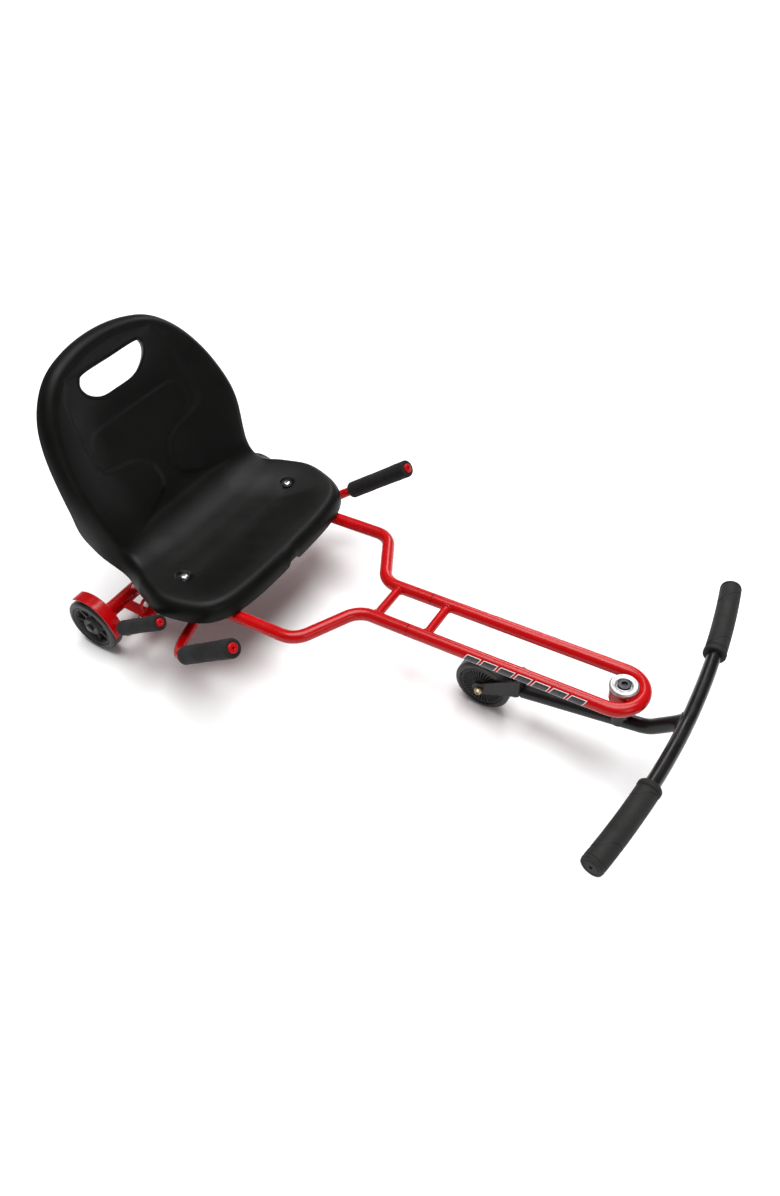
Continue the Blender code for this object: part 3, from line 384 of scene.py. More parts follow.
# ---------------------------------------------------------------- materials
class Surface:
    """A Principled material whose colour, roughness and bump come from procedural nodes in object space."""

    def __init__(self, name, slot, roughness, metallic=0.0, coat=0.0, specular=0.5):
        self.material = bpy.data.materials.new(name)
        self.material.use_nodes = True
        self.material["slot"] = slot
        self.nodes = self.material.node_tree.nodes
        self.links = self.material.node_tree.links
        self.shader = self.nodes["Principled BSDF"]
        values = {"Roughness": roughness, "Metallic": metallic, "Coat Weight": coat, "Coat Roughness": 0.08,
                  "Specular IOR Level": specular}
        for socket, value in values.items():
            self.shader.inputs[socket].default_value = value
        self.place = self.nodes.new("ShaderNodeTexCoord").outputs["Object"]
        self.normal = None

    def feed(self, socket, value):
        """Links an input to another node's output, or sets it to a plain value."""
        if isinstance(value, bpy.types.NodeSocket):
            self.links.new(value, socket)
        else:
            socket.default_value = value

    def node(self, kind, inputs):
        """A new node whose named inputs are fed."""
        node = self.nodes.new(kind)
        for name, value in inputs.items():
            self.feed(node.inputs[name], value)
        return node

    def noise(self, scale, detail=3.0, roughness=0.55, stretch=None):
        place = self.place
        if stretch:
            place = self.node("ShaderNodeMapping", {"Scale": stretch, "Vector": place}).outputs["Vector"]
        inputs = {"Scale": scale, "Detail": detail, "Roughness": roughness, "Vector": place}
        return self.node("ShaderNodeTexNoise", inputs).outputs["Fac"]

    def cells(self, scale):
        return self.node("ShaderNodeTexVoronoi", {"Scale": scale, "Vector": self.place}).outputs["Distance"]

    def ramp(self, value, stops):
        """stops are (position, colour) pairs."""
        node = self.node("ShaderNodeValToRGB", {"Fac": value})
        elements = node.color_ramp.elements
        while len(elements) < len(stops):
            elements.new(0.5)
        for element, (position, colour) in zip(elements, stops):
            element.position = position
            element.color = (*colour, 1.0)
        return node.outputs["Color"]

    def mix(self, factor, first, second, blend="MIX"):
        node = self.nodes.new("ShaderNodeMix")
        node.data_type = "RGBA"
        node.blend_type = blend
        sockets = {socket.identifier: socket for socket in node.inputs}
        for name, value in (("Factor_Float", factor), ("A_Color", first), ("B_Color", second)):
            self.feed(sockets[name], value)
        return next(socket for socket in node.outputs if socket.identifier == "Result_Color")

    def colour(self, value):
        self.links.new(value, self.shader.inputs["Base Color"])

    def roughness(self, value, smooth, rough, low=0.3, high=0.7):
        """Roughness from smooth to rough while value goes from low to high."""
        inputs = {"Value": value, "From Min": low, "From Max": high, "To Min": smooth, "To Max": rough}
        spread = self.node("ShaderNodeMapRange", inputs)
        self.links.new(spread.outputs["Result"], self.shader.inputs["Roughness"])

    def bump(self, height, strength, distance):
        node = self.node("ShaderNodeBump", {"Height": height, "Strength": strength, "Distance": distance})
        if self.normal is not None:
            self.links.new(self.normal, node.inputs["Normal"])
        self.normal = node.outputs["Normal"]
        self.links.new(self.normal, self.shader.inputs["Normal"])


def grey(value):
    return value, value, value


def powder_coat(name, slot, base, deep, roughness, coat):
    """Baked powder coat: slight colour drift, orange peel and a few dull patches from handling."""
    surface = Surface(name, slot, roughness, coat=coat, specular=0.25)
    body = surface.ramp(surface.noise(9.0, 4.0), [(0.35, deep), (0.65, base)])
    specks = surface.ramp(surface.cells(260.0), [(0.03, grey(1)), (0.05, grey(0))])
    lighter = tuple(min(channel * 1.25 + 0.02, 1.0) for channel in base)
    surface.colour(surface.mix(specks, body, (*lighter, 1.0)))
    surface.roughness(surface.noise(35.0, 6.0, 0.65), roughness * 0.85, roughness * 1.45, 0.35, 0.75)
    surface.bump(surface.noise(420.0, 2.0), 0.05, 0.0005)
    return surface.material


def moulded_plastic(name, slot, base, light, roughness, grain):
    """Moulded plastic with a fine leather grain, flow marks and faint scuffs."""
    surface = Surface(name, slot, roughness, specular=0.13)
    body = surface.ramp(surface.noise(6.0, 5.0, 0.6), [(0.30, base), (0.75, light)])
    scuffs = surface.noise(55.0, 8.0, 0.7, stretch=(1.0, 0.12, 1.0))
    dusty = tuple(min(channel * 2.0 + 0.01, 1.0) for channel in light)
    worn = surface.ramp(scuffs, [(0.66, grey(0)), (0.80, grey(0.35))])
    surface.colour(surface.mix(worn, body, (*dusty, 1.0)))
    surface.roughness(surface.noise(24.0, 6.0), roughness * 0.86, roughness * 1.18)
    surface.bump(surface.cells(grain), 0.18, 0.0002)
    surface.bump(surface.noise(grain * 2.6, 2.0), 0.10, 0.0001)
    return surface.material


def soft_foam(name, slot):
    """Closed-cell foam: matt, finely pitted with painted shade darkening the pits, a little paler where hands
    rub it.
    """
    surface = Surface(name, slot, 0.92, specular=0.25)
    rubbed = surface.noise(18.0, 5.0)
    body = surface.ramp(rubbed, [(0.35, (0.010, 0.010, 0.0105)), (0.75, (0.022, 0.022, 0.023))])
    # darker at the cells' centres, where the bump sinks the pits: painted shade in the pits
    pit_shade = surface.ramp(surface.cells(1500.0), [(0.10, grey(0.35)), (0.35, grey(1))])
    surface.colour(surface.mix(1.0, body, pit_shade, "MULTIPLY"))
    surface.roughness(rubbed, 0.96, 0.82)
    surface.bump(surface.cells(1500.0), 0.55, 0.0004)
    surface.bump(surface.noise(150.0, 3.0), 0.25, 0.0006)
    return surface.material


def grip_rubber(name, slot):
    """Moulded rubber with a fine spark-eroded texture."""
    surface = Surface(name, slot, 0.70, specular=0.35)
    drift = surface.noise(14.0, 4.0)
    surface.colour(surface.ramp(drift, [(0.3, (0.0060, 0.0062, 0.0056)), (0.75, (0.0110, 0.0112, 0.0104))]))
    surface.roughness(surface.noise(40.0, 5.0), 0.62, 0.80)
    surface.bump(surface.noise(1100.0, 3.0, 0.7), 0.35, 0.0003)
    return surface.material


def urethane(name, slot, base, light, roughness):
    """Cast urethane: satin, with dust rubbed into it and faint rolling marks round the tread."""
    surface = Surface(name, slot, roughness)
    dust = surface.noise(60.0, 7.0, 0.68)
    surface.colour(surface.ramp(dust, [(0.38, base), (0.78, light)]))
    surface.roughness(dust, roughness * 0.85, roughness * 1.3)
    surface.bump(surface.noise(500.0, 3.0), 0.14, 0.0004)
    surface.bump(surface.noise(90.0, 4.0, 0.6, stretch=(6.0, 1.0, 1.0)), 0.10, 0.0004)
    return surface.material


def plated_metal(name, slot, base, dull, roughness):
    """Plated or turned metal: fine tool lines, stain clouds and a little tarnish."""
    surface = Surface(name, slot, roughness, metallic=1.0)
    surface.colour(surface.ramp(surface.noise(70.0, 6.0, 0.6), [(0.30, dull), (0.62, base)]))
    surface.roughness(surface.noise(160.0, 5.0), roughness * 0.7, roughness * 1.5)
    surface.bump(surface.noise(2200.0, 2.0, 0.5, stretch=(1.0, 1.0, 0.05)), 0.12, 0.0001)
    return surface.material


def vinyl(name, slot, base, worn):
    """Printed vinyl film with faint print mottling."""
    surface = Surface(name, slot, 0.32)
    surface.colour(surface.ramp(surface.noise(180.0, 4.0), [(0.35, base), (0.70, worn)]))
    surface.roughness(surface.noise(60.0, 4.0), 0.26, 0.42)
    return surface.material


RED = powder_coat("red_powder_coat", "red_paint", (0.480, 0.0014, 0.0032), (0.410, 0.0010, 0.0022),
                  0.24, 0.10)
BLACK = powder_coat("black_powder_coat", "black_paint", grey(0.0055), grey(0.0035), 0.32, 0.12)
SEAT = moulded_plastic("seat_plastic", "seat_plastic", (0.0022, 0.0025, 0.0020), (0.0040, 0.0043, 0.0036),
                       0.45, 700.0)
# near-black plastic used only on the front wheel's slot floors, as painted shade in the slots
SLOT_SHADE_PLASTIC = moulded_plastic("wheel_plastic", "wheel_plastic", grey(0.0012), grey(0.0026), 0.60, 900.0)
PALE_WHEEL = moulded_plastic("rear_wheel_plastic", "wheel_plastic", (0.026, 0.026, 0.027),
                             (0.048, 0.048, 0.050), 0.42, 900.0)
FOAM = soft_foam("closed_cell_foam", "foam")
RUBBER = grip_rubber("grip_rubber", "grip_rubber")
TYRE = urethane("urethane", "tyre", grey(0.007), grey(0.018), 0.42)
ZINC = plated_metal("zinc_plate", "zinc_steel", (0.78, 0.78, 0.80), (0.60, 0.60, 0.63), 0.28)
ALUMINIUM = plated_metal("turned_aluminium", "aluminium", (0.60, 0.60, 0.61), (0.50, 0.50, 0.52), 0.46)
BLACK_STEEL = plated_metal("black_oxide", "black_steel", (0.075, 0.075, 0.080), (0.040, 0.040, 0.045), 0.38)
BRASS = plated_metal("yellow_passivate", "brass", (0.80, 0.68, 0.36), (0.62, 0.50, 0.24), 0.30)
DECAL_BLACK = vinyl("decal_black", "black_paint", (0.018, 0.018, 0.020), (0.034, 0.034, 0.036))
DECAL_WHITE = vinyl("decal_white", "red_paint", grey(0.86), grey(0.76))


# ---------------------------------------------------------------- front loop and head
def ladder_tube(s, half):
    """A thin tube between the rails, with the two beads where it meets them."""
    shapes = [sweep([rail_point(-half, s), rail_point(half, s)], CROSS_R)]
    for side in (-1, 1):
        shapes.append(weld_ring(rail_point(side * half, s), LEFTWARD * -side, RAIL_AXIS, CROSS_R, TUBE_R))
    return combine(shapes)


def build_front_loop():
    path = [rail_point(FRONT_HALF, s) for s in (JOINT_S - JOINT_GAP, RAIL_MIDDLE_S)]
    for angle in span(0, math.pi, 40):
        path.append(rail_point(FRONT_HALF * math.cos(angle), NOSE_S - FRONT_HALF * math.sin(angle)))
    path += [rail_point(-FRONT_HALF, s) for s in (RAIL_MIDDLE_S, JOINT_S - JOINT_GAP)]
    add_piece("front_loop_tube", tube(path, TUBE_R), RED, "front_loop", ["front_loop"])
    add_piece("front_ladder_tube", ladder_tube(CROSS_FRONT_S, FRONT_HALF), RED, "front_loop")


def build_head_tube():
    """Bored head tube with chamfered ends and the beads that join it to the loop's nose."""
    profile = bored_profile(HEAD_BORE_R, HEAD_TUBE_R, HEAD_STEP, HEAD_TOP, 0.0008, 0.0008)
    shapes = [turned(profile, HEAD, HEAD_AXIS, 72)]
    bead_r = HEAD_TUBE_R + 0.0004
    for lift in (-1, 1):
        path = []
        for degrees in span(-62, 62, 40):
            angle = math.radians(degrees)
            drop = lift * (0.0075 - 0.0030 * abs(math.sin(angle)))
            path.append(rail_point(bead_r * math.sin(angle), -bead_r * math.cos(angle), drop))
        shapes.append(weld_bead(path, 0.0017))
    add_piece("head_tube", combine(shapes), RED, "front_loop")


def build_head_collar():
    """Black collar round the bore below the head tube."""
    radius = HEAD_BORE_R + 0.0015
    top = HEAD_STEP - 0.0002
    profile = [(HEAD_BORE_R, HEAD_BOTTOM), (radius - 0.0005, HEAD_BOTTOM), (radius, HEAD_BOTTOM + 0.0005),
               (radius, top), (HEAD_BORE_R, top)]
    add_piece("head_tube_collar", turned(profile, HEAD, HEAD_AXIS, 64), BLACK, "front_loop")


def build_head_cap():
    """Dished cap with a bevelled outer ring, a groove inside it and a recess for the bolt's head."""
    low = HEAD_TOP + JOINT_GAP
    top = HEAD_TOP + 0.0065
    profile = [(BOLT_BORE_R, low), (0.0195, low)]
    profile += arc(0.0193, low + 0.0012, 0.0010, -80, 0, 4)
    profile += [(0.0203, low + 0.0036)]
    profile += arc(0.0175, top - 0.0018, 0.0018, 30, 90, 6)
    profile += [(0.0160, top - 0.0002), (0.0156, top - 0.0009)]
    profile += [(0.0128, top - 0.0014), (0.0124, top - 0.0006)]
    profile += arc(0.0113, top - 0.0006, 0.0006, 90, 180, 4)
    profile += [(0.0105, low + 0.0022), (BOLT_BORE_R, low + 0.0022)]
    shape = turned(profile, HEAD, HEAD_AXIS, 96)
    add_piece("head_cap_dished", shape, ALUMINIUM, "steering", ["head_cap"], 30)


def build_king_bolt():
    """Socket-head bolt through the head tube."""
    seat = HEAD_TOP + 0.0028
    top = HEAD_TOP + 0.0075
    end = BOSS_BOTTOM + 0.0010
    profile = [(0, top), (0.0080, top)] + arc(0.0080, top - 0.0012, 0.0012, 80, 0, 5)
    profile += [(0.0092, seat + 0.0003), (0.0089, seat), (0.0050, seat), (0.0050, end + 0.0004),
                (0.0044, end), (0, end)]
    shape = turned(profile, HEAD, HEAD_AXIS, 64)
    bolt = add_piece("king_bolt_socket_head", shape, BLACK_STEEL, "steering", ["king_bolt"])
    cut(bolt, prism(HEAD, HEAD_AXIS, 0.0046, top - 0.0034, top + 0.0020))


def wrap_patch(side, s_start, s_end, low, high, lift, slant):
    """A thin closed film round the outer side of a front rail, from low to high degrees, ends slanted."""
    columns = []
    for s in span(s_start, s_end, 10):
        faces = []
        for radius in (TUBE_R + lift, TUBE_R + lift + 0.00008):
            line = []
            for upward in span(0, 1, 8):
                angle = math.radians(low + (high - low) * upward)
                x = side * (FRONT_HALF + radius * math.cos(angle))
                line.append(rail_point(x, s + slant * (upward - 0.5), radius * math.sin(angle)))
            faces.append(line)
        columns.append(faces[0] + faces[1][::-1])
    return strip(columns)


def build_decals():
    """Plain slanted bars, dark with a thin pale border, along the outer side of each front rail."""
    first = 0.038
    pitch = 0.0265
    length = 0.0205
    border = 0.0011
    dark = []
    pale = []
    for side in (-1, 1):
        for index in range(7):
            s = first + pitch * index
            pale.append(wrap_patch(side, s - border, s + length + border, -28, 44, 0.00006, -0.0070))
            dark.append(wrap_patch(side, s, s + length, -22, 38, 0.00018, -0.0060))
    add_piece("rail_decal_border", combine(pale), DECAL_WHITE, "front_loop")
    add_piece("rail_decal_bars", combine(dark), DECAL_BLACK, "front_loop")


# ---------------------------------------------------------------- rear frame
def build_rear_frame():
    """Rails that splay out and drop to the axle tube, and the two tubes across them."""
    for side, word in SIDES:
        stations = ((FRONT_HALF, JOINT_S + JOINT_GAP), (FRONT_HALF, SPLAY_START_S), (REAR_HALF, SPLAY_END_S),
                    (REAR_HALF, RAIL_DROP_S))
        corners = [rail_point(side * half, s) for half, s in stations] + [axle_point(side * REAR_HALF)]
        rail = tube(fillet_path(corners, SPLAY_RADIUS), TUBE_R)
        add_piece(f"rear_rail_{word}", rail, RED, "rear_frame", ["rear_frame"])
    add_piece("rear_ladder_tube", ladder_tube(CROSS_REAR_S, FRONT_HALF), RED, "rear_frame")
    add_piece("seat_cross_tube", ladder_tube(SEAT_CROSS_S, REAR_HALF), RED, "rear_frame")


def build_axle_tube():
    """Axle tube with bored, chamfered ends and the two beads where the rails come down to it."""
    end = LEFT_HUB.x - HUB_HALF - 0.0020
    profile = bored_profile(AXLE_R + 0.0004, AXLE_TUBE_R, -end, end, 0.0008, 0.0008)
    shapes = [turned(profile, axle_point(0), LEFTWARD, 64)]
    for side in (-1, 1):
        foot = axle_point(side * REAR_HALF)
        toward = (rail_point(side * REAR_HALF, RAIL_DROP_S) - foot).normalized()
        shapes.append(weld_ring(foot, toward, LEFTWARD, TUBE_R, AXLE_TUBE_R, 0.0017))
    add_piece("rear_axle_tube", combine(shapes), RED, "rear_frame")


def handle_corners(side):
    """The bends and the tip of one half of the handle bar, from the inside out."""
    along = (HANDLE_END - HANDLE_START).normalized()
    elbow = HANDLE_START - along * 0.0400
    tip = HANDLE_END - along * 0.0030
    inner = Vector((0.150, elbow.y + 0.012, 0.0875))
    return [corner * Vector((side, 1, 1)) for corner in (inner, elbow, tip)]


def build_handle_bar():
    """The side handles' bar, which crosses under both rails, and the saddles that hold it to them."""
    path = fillet_path(handle_corners(-1)[::-1] + handle_corners(1), 0.035, 18)
    add_piece("handle_bar_tube", tube(path, HANDLE_R), RED, "rear_frame", ["handle_bar"])
    inner = handle_corners(1)[0]
    low = inner.z + HANDLE_R * 0.8
    height = rail_point(0, (inner.y - HEAD.y) / RAIL_AXIS.y).z - TUBE_R * 0.8 - low
    half = [(0.0085, 0), (0.0066, 0.0014), (0.0060, 0.0026)]
    profile = [(0, 0)] + half + [(radius, height - lift) for radius, lift in half[::-1]] + [(0, height)]
    saddles = [turned(profile, Vector((side * REAR_HALF, inner.y, low)), UPWARD, 36) for side in (-1, 1)]
    add_piece("handle_bar_saddles", combine(saddles), RED, "rear_frame")


def foam_sleeve(start, axis, length, bore, radius):
    """A foam sleeve with softly rounded ends and a slightly uneven outside."""
    soft = radius * 0.22
    profile = [(bore, 0.0006), (radius - soft, 0)] + arc(radius - soft, soft, soft, -80, 0, 6)
    for along in span(0, 1, 12)[1:-1]:
        bulge = 0.00016 * math.sin(9.0 * along) + 0.00012 * math.sin(23.0 * along + 1.0)
        profile.append((radius + bulge - 0.0002, soft + (length - 2 * soft) * along))
    profile += arc(radius - soft, length - soft, soft, 0, 80, 6)
    profile += [(radius - soft, length), (bore, length - 0.0006)]
    return turned(profile, start, axis, 64)


def end_plug(start, axis, length, radius):
    """A domed tube plug with a small hole in the middle."""
    hole = radius * 0.26
    profile = [(hole, length - 0.0020), (radius, length - 0.0020), (radius, length + 0.0004)]
    profile += arc(radius - 0.0016, length + 0.0006, 0.0016, 10, 75, 5)
    profile += [(hole + 0.0004, length + 0.0024), (hole, length + 0.0020)]
    return turned(profile, start, axis, 48)


def build_handle_ends():
    for side, word in SIDES:
        flip = Vector((side, 1, 1))
        start = HANDLE_START * flip
        axis = HANDLE_END * flip - start
        sleeve = foam_sleeve(start, axis, axis.length, HANDLE_R + 0.0003, FOAM_R)
        grip = add_piece(f"foam_sleeve_{word}", sleeve, FOAM, "rear_frame", [f"foam_grip_{word}"], 60)
        plug = end_plug(start, axis, axis.length, HANDLE_R - 0.0002)
        add_piece(f"handle_end_plug_{word}", plug, RED, "rear_frame", [f"handle_plug_{word}"])


# ---------------------------------------------------------------- seat
RIM_RINGS = [0.0, 0.0006, 0.0016, 0.0030, 0.0048, 0.0070, 0.0094, 0.0116, 0.0136, 0.0156, 0.0178, 0.0202,
             0.0232, 0.0268, 0.0304, 0.0340]


def seat_profile(s):
    """Centre line of the seat at distance s from its front edge: point and upward normal in Y, Z."""
    turn = math.pi / 2 - BACK_LEAN - PAN_RISE
    pan_end = PAN_LENGTH - FOLD_RADIUS * math.tan(turn / 2)
    arc_length = FOLD_RADIUS * turn
    along = min(s, pan_end)
    y = SEAT_FRONT_Y + along * math.cos(PAN_RISE)
    z = SEAT_FRONT_Z + along * math.sin(PAN_RISE)
    angle = PAN_RISE + min(max(s - pan_end, 0.0), arc_length) / FOLD_RADIUS
    y += FOLD_RADIUS * (math.sin(angle) - math.sin(PAN_RISE))
    z += FOLD_RADIUS * (math.cos(PAN_RISE) - math.cos(angle))
    rest = max(s - pan_end - arc_length, 0.0)
    y += rest * math.cos(angle)
    z += rest * math.sin(angle)
    return y, z, -math.sin(angle), math.cos(angle)


def seat_point(x, s, height):
    """A point of the seat, height above its base surface: dished across the back and curled at the top."""
    y, z, normal_y, normal_z = seat_profile(s)
    dish = BACK_DISH * smoothstep((s - 0.200) / 0.120) * (x / SEAT_HALF) ** 2
    curl = TOP_CURL * (max(s - 0.424, 0.0) / 0.0960) ** 2
    height += dish + curl
    return Vector((x, y + normal_y * height, z + normal_z * height))


def catmull(before, start, end, after, t):
    """A point of a smooth curve from start (t = 0) to end (t = 1)."""
    value = []
    for a, b, c, d in zip(before, start, end, after):
        cubic = (2 * a - 5 * b + 4 * c - d) * t ** 2 + (3 * b - a - 3 * c + d) * t ** 3
        value.append(0.5 * (2 * b + (c - a) * t + cubic))
    return value


def mirrored_curve(half, per_span):
    """A smooth closed outline through a half outline, from centre line to centre line, and its mirror."""
    knots = [(-half[1][0], half[1][1])] + half + [(-half[-2][0], half[-2][1])]
    points = []
    for index in range(1, len(knots) - 2):
        for step in range(per_span):
            points.append(catmull(*knots[index - 1:index + 3], step / per_span))
    points.append(list(half[-1]))
    return points + [[-x, s] for x, s in points[-2:0:-1]]


def inward_offset(outline, distance):
    """Each outline point moved inward along its own normal."""
    moved = []
    for index, (x, s) in enumerate(outline):
        ahead = outline[(index + 1) % len(outline)]
        behind = outline[index - 1]
        dx = ahead[0] - behind[0]
        ds = ahead[1] - behind[1]
        size = math.hypot(dx, ds)
        moved.append([x - ds / size * distance, s + dx / size * distance])
    return moved


def depth_inside(points, outline):
    """Distance from each (x, s) point to a closed outline, positive inside it."""
    corners = np.array(outline)
    ahead = np.roll(corners, -1, axis=0)
    edge = ahead - corners
    result = np.empty(len(points))
    block = 4000
    for first in range(0, len(points), block):
        part = points[first:first + block, None, :]
        along = ((part - corners) * edge).sum(axis=2) / np.maximum((edge ** 2).sum(axis=1), 1e-12)
        nearest = corners + np.clip(along, 0, 1)[:, :, None] * edge
        distance = np.sqrt(((part - nearest) ** 2).sum(axis=2)).min(axis=1)
        crosses = (corners[:, 1] > part[:, :, 1]) != (ahead[:, 1] > part[:, :, 1])
        rise = np.where(edge[:, 1] == 0, 1.0, edge[:, 1])
        reach = corners[:, 0] + (part[:, :, 1] - corners[:, 1]) * edge[:, 0] / rise
        inside = (crosses & (part[:, :, 0] < reach)).sum(axis=1) % 2 == 1
        result[first:first + block] = np.where(inside, distance, -distance)
    return result


def soft_step(value, width):
    """0 below -width/2, 1 above width/2 and smooth between."""
    t = np.clip(value / width + 0.5, 0, 1)
    return t * t * (3 - 2 * t)


def lip_drop(x, s):
    """Depth of the rolled lip: greatest beside the fold, and less in the notch at the front's middle."""
    drop = LIP_DROP + WAIST_DROP * np.exp(-((s - WAIST_S) / WAIST_SPREAD) ** 2)
    notch = soft_step(0.0115 - np.abs(x + 0.0025), 0.0050) * soft_step(0.020 - s, 0.010)
    return drop - 0.0085 * notch


def rim_height(distance, x, s):
    """Height of the skin against the distance from the outline: rolled rim, ridge, then a shallow dish."""
    drop = lip_drop(x, s)
    fall = np.clip(1 - distance / RIM_WIDTH, 0, 1)
    rolled = -drop + (RIM_HEIGHT + drop) * np.sqrt(1 - fall ** 2)
    inside = np.clip((distance - RIM_WIDTH) / 0.090, 0, 1)
    dished = RIM_HEIGHT * (0.5 + 0.5 * np.cos(np.pi * inside))
    return np.where(distance < RIM_WIDTH, rolled, dished)


def with_mirror(half):
    """A half outline followed by its mirror."""
    return half + [(-x, s) for x, s in half[::-1]]


def seat_relief(points, distance):
    """Depth of the moulded detail: shield and panel in the back, crease, bolt wells and the rim's groove."""
    x = points[:, 0]
    s = points[:, 1]
    shield = depth_inside(points, with_mirror(SHIELD))
    panel = depth_inside(points, with_mirror(PANEL))
    depth = 0.0034 * np.clip(shield / 0.0090, 0, 1) * soft_step(s - 0.235, 0.050)
    depth += 0.0013 * soft_step(panel, 0.0036)
    depth += 0.0014 * np.exp(-((s - 0.142) / 0.022) ** 2) * soft_step(0.118 - np.abs(x), 0.050)
    depth -= 0.0006 * np.exp(-((s - 0.200) / 0.022) ** 2) * soft_step(0.125 - np.abs(x), 0.050)
    well = np.hypot(np.abs(x) - REAR_HALF, s - SEAT_BOLT_S)
    depth += 0.0036 * soft_step(0.0110 - well, 0.0030)
    depth += 0.0007 * np.exp(-((distance - 0.0178) / 0.0016) ** 2) * soft_step(s - 0.200, 0.040)
    return depth


def seat_skin(shape, outline, columns, underside):
    """One skin of the seat: rings in from the outline, then rows across. Returns the outermost ring."""
    count = len(outline)
    half = count // 2
    places = []
    distances = []
    trim = SEAT_SKIN if underside else 0.0
    for ring in RIM_RINGS:
        places += inward_offset(outline, ring + trim * max(1 - ring / RIM_WIDTH, 0.0))
        distances += [ring] * count
    inner = places[-count:]
    for index in range(1, half):
        x, s = inner[index]
        places += [(x * (1 - 2 * column / columns), s) for column in range(1, columns)]
    points = np.array(places)
    middle = depth_inside(points[len(distances):], outline[::4])
    distance = np.concatenate([np.array(distances), np.maximum(middle, RIM_RINGS[-1])])
    height = rim_height(distance, points[:, 0], points[:, 1])
    relief = seat_relief(points, distance)
    if underside:
        height -= SEAT_SKIN * np.clip(distance / 0.004, 0, 1) + relief * 0.8
    else:
        height -= relief
    verts = [shape.verts.new(seat_point(x, s, h)) for (x, s), h in zip(points.tolist(), height.tolist())]
    free = count * len(RIM_RINGS)
    rings = [verts[first:first + count] for first in range(0, free, count)]
    bridge(shape, rings)
    rim = rings[-1]
    rows = []
    for index in range(1, half):
        begin = free + (index - 1) * (columns - 1)
        rows.append([rim[index]] + verts[begin:begin + columns - 1] + [rim[-index]])
    for row, following in zip(rows, rows[1:]):
        for column in range(columns):
            shape.faces.new((row[column], row[column + 1], following[column + 1], following[column]))
    shape.faces.new([rim[0]] + rows[0])
    shape.faces.new([rim[half]] + rows[-1][::-1])
    return rings[0]


def skin_height(points):
    """Height of the seat's top skin above its base surface at (x, s) points."""
    distance = depth_inside(points, mirrored_curve(SEAT_OUTLINE, 6))
    return rim_height(distance, points[:, 0], points[:, 1]) - seat_relief(points, distance)


def build_seat():
    """The seat's two skins, closed round the lip, with the carrying hole cut through."""
    shape = bmesh.new()
    outline = mirrored_curve(SEAT_OUTLINE, 20)
    top = seat_skin(shape, outline, 120, False)
    bottom = seat_skin(shape, outline, 40, True)
    bridge(shape, [top, bottom])
    seat = add_piece("seat_moulding", shape, SEAT, "rear_frame", ["seat_shell"], 55)
    hole = mirrored_curve(HAND_HOLE, 10)
    cut(seat, strip([[seat_point(x, s, height) for x, s in hole] for height in (0.05, -0.05)]))


def build_hand_hole_lip():
    """The rolled wall round the carrying hole, which turns back behind the seat's skin."""
    hole = mirrored_curve(HAND_HOLE, 10)
    height = skin_height(np.array(hole))
    profile = [(0.0040, 0.0000), (0.0024, 0.0010), (0.0006, 0.0010), (-0.0008, 0.0002), (-0.0016, -0.0012),
               (-0.0024, -0.0040), (-0.0052, -0.0160), (-0.0046, -0.0170), (-0.0024, -0.0170),
               (-0.0018, -0.0160), (0.0016, -0.0050), (0.0040, -0.0030)]
    rings = {offset: inward_offset(hole, -offset) for offset, _ in profile}

    def position(index, offset, lift):
        x, s = rings[offset][index]
        return seat_point(x, s, float(height[index]) + lift)

    add_piece("hand_hole_wall", band(hole, position, profile), SEAT, "rear_frame", (), 50)


def build_seat_fixings():
    """Risers, dished washers and low button heads that sit in the seat's two wells."""
    bolt_y = SEAT_FRONT_Y + SEAT_BOLT_S * math.cos(PAN_RISE)
    height = float(skin_height(np.array([[REAR_HALF, SEAT_BOLT_S]]))[0])
    skin = seat_point(REAR_HALF, SEAT_BOLT_S, height).z
    base = rail_point(0, (bolt_y - HEAD.y) / RAIL_AXIS.y).z + TUBE_R * 0.94
    top = skin - SEAT_SKIN - 0.0004
    low = skin + 0.0016
    riser = [(0.0045, base), (0.0140, base), (0.0140, base + 0.0030), (0.0130, base + 0.0036),
             (0.0095, base + 0.0044), (0.0085, base + 0.0056), (0.0085, top), (0.0045, top)]
    washer = [(0.0044, skin + 0.0003), (0.0078, skin + 0.0003), (0.0081, skin + 0.0007),
              (0.0078, skin + 0.0013), (0.0044, skin + 0.0014)]
    button = [(0, base + 0.002), (0.0040, base + 0.002), (0.0040, low), (0.0058, low), (0.0060, low + 0.0005),
              (0.0058, low + 0.0012), (0.0050, low + 0.0021), (0.0039, low + 0.0027),
              (0.0024, low + 0.0030), (0, low + 0.0030)]
    for side, word in SIDES:
        centre = Vector((side * REAR_HALF, bolt_y, 0))
        post, disc, screw = (turned(profile, centre, UPWARD, 48) for profile in (riser, washer, button))
        add_piece(f"seat_post_{word}", post, RED, "rear_frame", [f"seat_riser_{word}"])
        add_piece(f"seat_washer_plain_{word}", disc, BLACK_STEEL, "rear_frame", [f"seat_washer_{word}"])
        bolt = add_piece(f"seat_button_bolt_{word}", screw, ZINC, "rear_frame", [f"seat_bolt_{word}"])
        cut(bolt, prism(centre, UPWARD, 0.0023, low + 0.0012, low + 0.0080))


# ---------------------------------------------------------------- steering arm, fork and foot bar
def arm_height(back):
    """Height of the steering arm's centre at a distance behind the head tube."""
    return 0.0906 - ARM_SLOPE * (back - 0.0227)


def bar_point(x):
    """Centre of the foot bar at a distance x from the middle."""
    outward = abs(x) / BAR_HALF
    y = HEAD.y + BAR_BACK + BAR_SWEEP * outward ** 2
    z = BAR_Z + BAR_RISE * math.sin(math.pi / 2 * min(outward, 1.0))
    return Vector((x, y, z))


